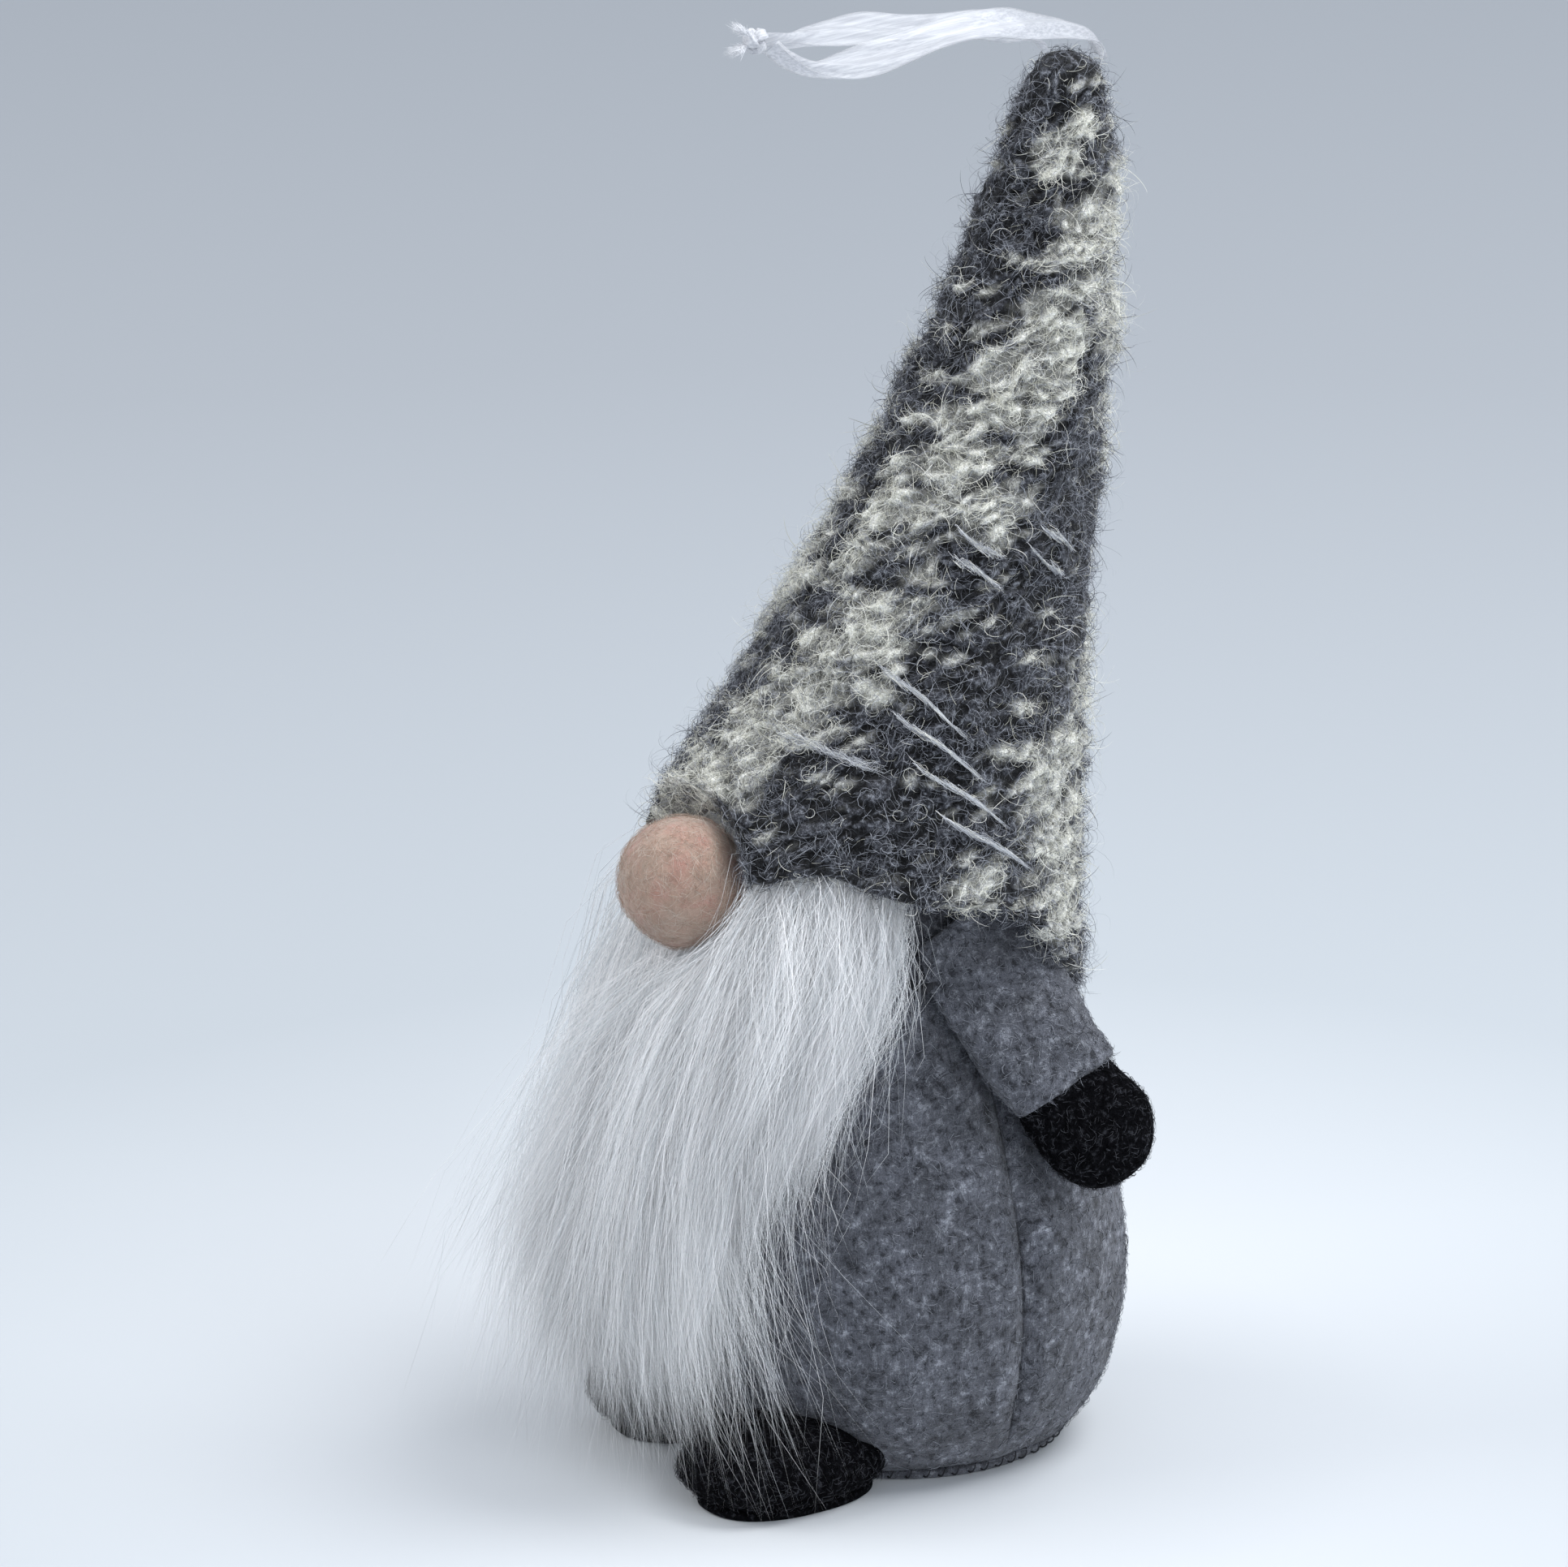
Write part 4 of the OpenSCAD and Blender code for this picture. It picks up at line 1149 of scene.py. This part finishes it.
def fur_paths(across, layer, reach, sweep, bend, steps):
    """Hairs of the beard. across is -1 to 1 between the edges, layer 0 to 1 from in to out."""
    u = np.linspace(0, 1, steps)[None] * reach[:, None]
    inner, outer = np.array(INNER_MM)[None], np.array(OUTER_MM)[None]
    control = inner + layer[:, None, None] * (outer - inner)
    thin = 1 - 0.45 * np.abs(across) ** 4
    weights = np.stack([math.comb(4, i) * u ** i * (1 - u) ** (4 - i) for i in range(5)], -1)
    profile = np.einsum("nsk,nkc->nsc", weights, control) * MM
    radius, z = profile[..., 0], profile[..., 1]
    ground = body_radius(z) + 2 * MM
    radius = np.where(radius > ground, ground + (radius - ground) * thin[:, None], ground)
    edge = fur_edge(z)
    angle = np.clip(across[:, None] * edge + bend[:, None] * u ** 2, -edge - 0.1, edge + 0.03)
    path = np.stack([radius * np.sin(angle), -radius * np.cos(angle), z], -1)
    path = path + SWEEP * (sweep[:, None] * u ** 3.4)[..., None]
    return path - SWEEP * too_far(path @ SWEEP - SWEEP_REACH, SWEEP_ROOM)[..., None]


def too_far(over, room):
    """How much to take off a length that is over its limit, so that it ends within room of it."""
    over = np.maximum(over, 0)
    return over - room * (1 - np.exp(-over / room))


def clear_of(points, centre, radius):
    """Points pushed out of the ball round centre; radius is one value or one for each point."""
    away = points - centre
    size = np.linalg.norm(away, axis=-1, keepdims=True)
    return np.where(size < radius, centre + away / np.maximum(size, 1e-9) * radius, points)


def settle(paths):
    """Keeps hairs outside the nose, the body and the boots, above the floor and within reach."""
    paths = clear_of(paths, NOSE_CENTRE, NOSE_R + 0.3 * MM)
    flat = paths.reshape(-1, 3)
    flat = clear_of_body(flat, 0.8 * MM)
    for centre, size in KEEP_CLEAR_MM:
        centre, size = np.array(centre) * MM, np.array(size) * MM
        away = (flat - centre) / size
        norm = np.linalg.norm(away, axis=1, keepdims=True)
        flat = np.where(norm < 1, centre + away / np.maximum(norm, 1e-9) * size, flat)
    flat[:, 2] = np.maximum(flat[:, 2], 1.5 * MM)
    for axis, far in ((0, SIDE_REACH), (1, FRONT_REACH)):
        flat[:, axis] += too_far(-far - flat[:, axis], REACH_ROOM)
    return flat.reshape(paths.shape)


def add_beard():
    add_fur_core()
    draw = np.random.default_rng(131)
    steps, locks = 8, 620
    lock_across, lock_layer = draw.uniform(-1, 1, locks), draw.random(locks) ** 0.5
    tight = draw.random(locks) < 0.22
    # The fur is long at the middle and the far side; at the near side only pointed locks are long
    limit = np.interp(lock_across, [-1, -0.3, 0, 0.15, 0.3, 0.6, 1], [0.96, 1, 1, 0.9, 0.77, 0.66, 0.57])
    long_limit = np.interp(lock_across, [-1, -0.3, 0, 0.2, 0.6, 1], [0.98, 1, 0.97, 0.88, 0.85, 0.74])
    limit = np.where(tight, long_limit, limit)
    lock_reach = draw.uniform(np.interp(lock_across, [0, 0.2], [0.93, 0.82]), 1.04, locks) * limit
    lock_sweep = np.where(draw.random(locks) < 0.3, draw.uniform(10, 27, locks),
                          draw.uniform(0, 7, locks)) * MM
    lock_sweep = lock_sweep * (1 - 0.7 * smooth_step(lock_across, -0.1, 0.7))
    lock_reach = lock_reach * (1 - 0.11 * smooth_step(lock_sweep, 5 * MM, 20 * MM))
    lock_bend = draw.normal(0, 0.13, locks)
    lock_paths = fur_paths(lock_across, lock_layer, lock_reach, lock_sweep, lock_bend, steps)
    # Part of the way down each lock swings aside, so that the locks cross
    u = np.linspace(0, 1, steps)[None, :, None]
    turn_at = draw.uniform(0.25, 0.6, (locks, 1, 1))
    swing = draw.normal(0, 1, (locks, 1, 3)) * np.array([8, 5, 2]) * MM
    swing = swing * (1 - 0.85 * smooth_step(lock_across, 0.3, 0.9))[:, None, None]
    swing = swing * smooth_step(u, turn_at, turn_at + 0.4)
    swing = swing + (draw.normal(0, 2.0 * MM, (locks, 1, 3)) * u
                     * np.sin(u * draw.uniform(4, 9, (locks, 1, 1)) + draw.uniform(0, 6.3, (locks, 1, 1))))
    # Some tips at the bottom turn back over the boots
    hook = (draw.uniform(5, 18, locks) * MM * (draw.random(locks) < 0.6)
            * smooth_step(-lock_across, -0.1, 0.2))
    # The fur's glow is painted light: a little emission that brightens the white pile, strongest in
    # fur_bright.
    fibres = [fibre("fur_white", (0.90, 0.91, 0.92), 0.5, 0.1, 0.04),
              fibre("fur_soft", (0.70, 0.73, 0.75), 0.5, 0.1, 0.01),
              fibre("fur_bright", (0.98, 0.98, 0.99), 0.4, 0.1, 0.06)]
    for part in range(9):
        count = 4800
        lock = draw.integers(0, locks, count)
        across = lock_across[lock] + draw.normal(0, 0.06, count)
        across = np.where(np.abs(across) > 1, np.sign(across) * (2 - np.abs(across)), across)
        layer = np.clip(lock_layer[lock] + draw.normal(0, 0.12, count), 0, 1)
        stray = draw.random(count) < 0.26
        short = np.interp(across, [0, 0.25], [0.88, 0.6])
        reach = lock_reach[lock] * draw.uniform(short, 1.03, count) + 0.06 * stray
        sweep = lock_sweep[lock] + draw.normal(0, 2.0 * MM, count)
        bend = lock_bend[lock] + draw.normal(0, 0.08, count) + stray * draw.normal(0, 0.28, count)
        own = fur_paths(across, layer, reach, sweep, bend, steps)
        pull = np.where(tight[lock], draw.uniform(0.7, 0.97, count), draw.uniform(0.1, 0.75, count))
        pull = np.where(stray, 0.1, pull)[:, None, None] * u ** 1.2
        paths = own + (lock_paths[lock] - own) * pull + swing[lock] * draw.uniform(0.7, 1.1, (count, 1, 1))
        paths -= SWEEP * hook[lock][:, None, None] * draw.uniform(0.3, 1.2, (count, 1, 1)) * u ** 5
        loose = np.where(stray, 1.5, np.where(tight[lock], 0.4, 1))[:, None, None]
        for scale, low, high in ((1.8, 3, 7), (0.7, 8, 14)):
            phase = draw.uniform(0, 6.3, (count, 1, 1))
            paths += (draw.normal(0, scale * MM, (count, 1, 3)) * loose * u ** 0.7
                      * np.sin(u * draw.uniform(low, high, (count, 1, 1)) + phase))
        wild = np.clip(draw.normal(0, 3.6 * MM, (count, 1, 3)), -9 * MM, 9 * MM)
        paths = settle(paths + wild * u ** 2 * stray[:, None, None])
        widths = draw.uniform(0.05, 0.12, count) * MM
        shades = draw.choice(3, count, p=[0.4, 0.25, 0.35])
        fur = hairs(f"beard_fur_{part + 1}", paths, widths, fibres, shades)
        finish_piece(fur, "torso", ["beard_fur"] if part == 0 else [])


def add_fur_core():
    """Dense underfur that fills the beard, and the cloth it grows from."""
    rows, cols = 40, 60
    material, tree, shader = new_material("underfur", 0.8, 0.3, 0.2)
    streaks = noise(tree, 0.35 * MM, (1, 1, 0.08), 3)
    tree.links.new(ramp(tree, streaks, [(0.35, (0.72, 0.73, 0.77)), (0.6, (0.93, 0.93, 0.95))]),
                   shader.inputs["Base Color"])
    add_bump(tree, shader, streaks, 0.8 * MM, 1.0)
    across = np.linspace(-0.93, 0.93, cols)
    full = fur_paths(across, np.full(cols, 0.45), np.interp(across, [-0.93, 0, 0.93], [0.8, 0.74, 0.5]),
                     np.full(cols, 7 * MM),
                     np.zeros(cols), rows).transpose(1, 0, 2)
    back = full.copy()
    reach = np.hypot(back[..., 0], back[..., 1])
    close = body_radius(back[..., 2]) + 0.9 * MM
    back[..., :2] *= np.minimum(close / reach, 1)[..., None]
    side = (1 - np.abs(across / 0.93) ** 6)[None, :, None]
    end = (1 - np.linspace(0, 1, rows) ** 6)[:, None, None]
    front = back + (full - back) * side * end
    front = clear_of(front, NOSE_CENTRE, NOSE_R + 0.2 * MM)
    rings = np.concatenate([front, back[:, ::-1]], 1)
    ends = [np.repeat(rings[i].mean(0)[None, None], 2 * cols, 1) for i in (0, -1)]
    rings = np.concatenate([ends[0], rings, ends[1]])
    core = make_mesh("beard_underfur", rings.reshape(-1, 3), grid_faces(len(rings), 2 * cols)[:, ::-1])
    core.data.materials.append(material)
    finish_piece(core, "torso")
    z = np.linspace(60.5, 87.5, 16) * MM
    edge = np.linspace(-1, 1, 40)
    angle = edge[None] * (fur_edge(z)[:, None] - math.radians(4))
    layers = []
    for off in (0.35, 1.4):
        radius = (body_radius(z) + off * MM)[:, None]
        layers.append(np.stack([radius * np.sin(angle), -radius * np.cos(angle),
                                np.repeat(z[:, None], 40, 1)], -1))
    rings = np.concatenate([layers[1], layers[0][:, ::-1]], 1)
    cloth = make_mesh("beard_backing_cloth", rings.reshape(-1, 3), grid_faces(16, 80))
    cloth.data.materials.append(plain_cloth("fur_backing_cloth", (0.75, 0.74, 0.70), 0.5 * MM))
    finish_piece(cloth, "torso", ["beard_backing"])


# ---------------------------------------------------------------- hidden CAD pieces

def dress_cad_nodes():
    """Materials of the inner pieces that stay as CAD solids."""
    card = plain_cloth("grey_card", (0.45, 0.36, 0.25), 0.6 * MM)
    pouch = plain_cloth("pellet_pouch", (0.55, 0.52, 0.45), 2.5 * MM)
    kinds = {"card": card, "bag": pouch, "thread": THREAD, "tacks": THREAD, "filling": FILLING,
             "stuffing": FILLING}
    for name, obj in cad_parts.items():
        for word, material in kinds.items():
            if word in name:
                obj.data.materials.clear()
                obj.data.materials.append(material)


add_camera()
add_ribbon()
add_body()
add_base()
for side, word in ((1, "left"), (-1, "right")):
    add_arm(side, word)
    add_boot(side, word)
add_hat()
add_nose()
add_beard()
dress_cad_nodes()
add_studio()
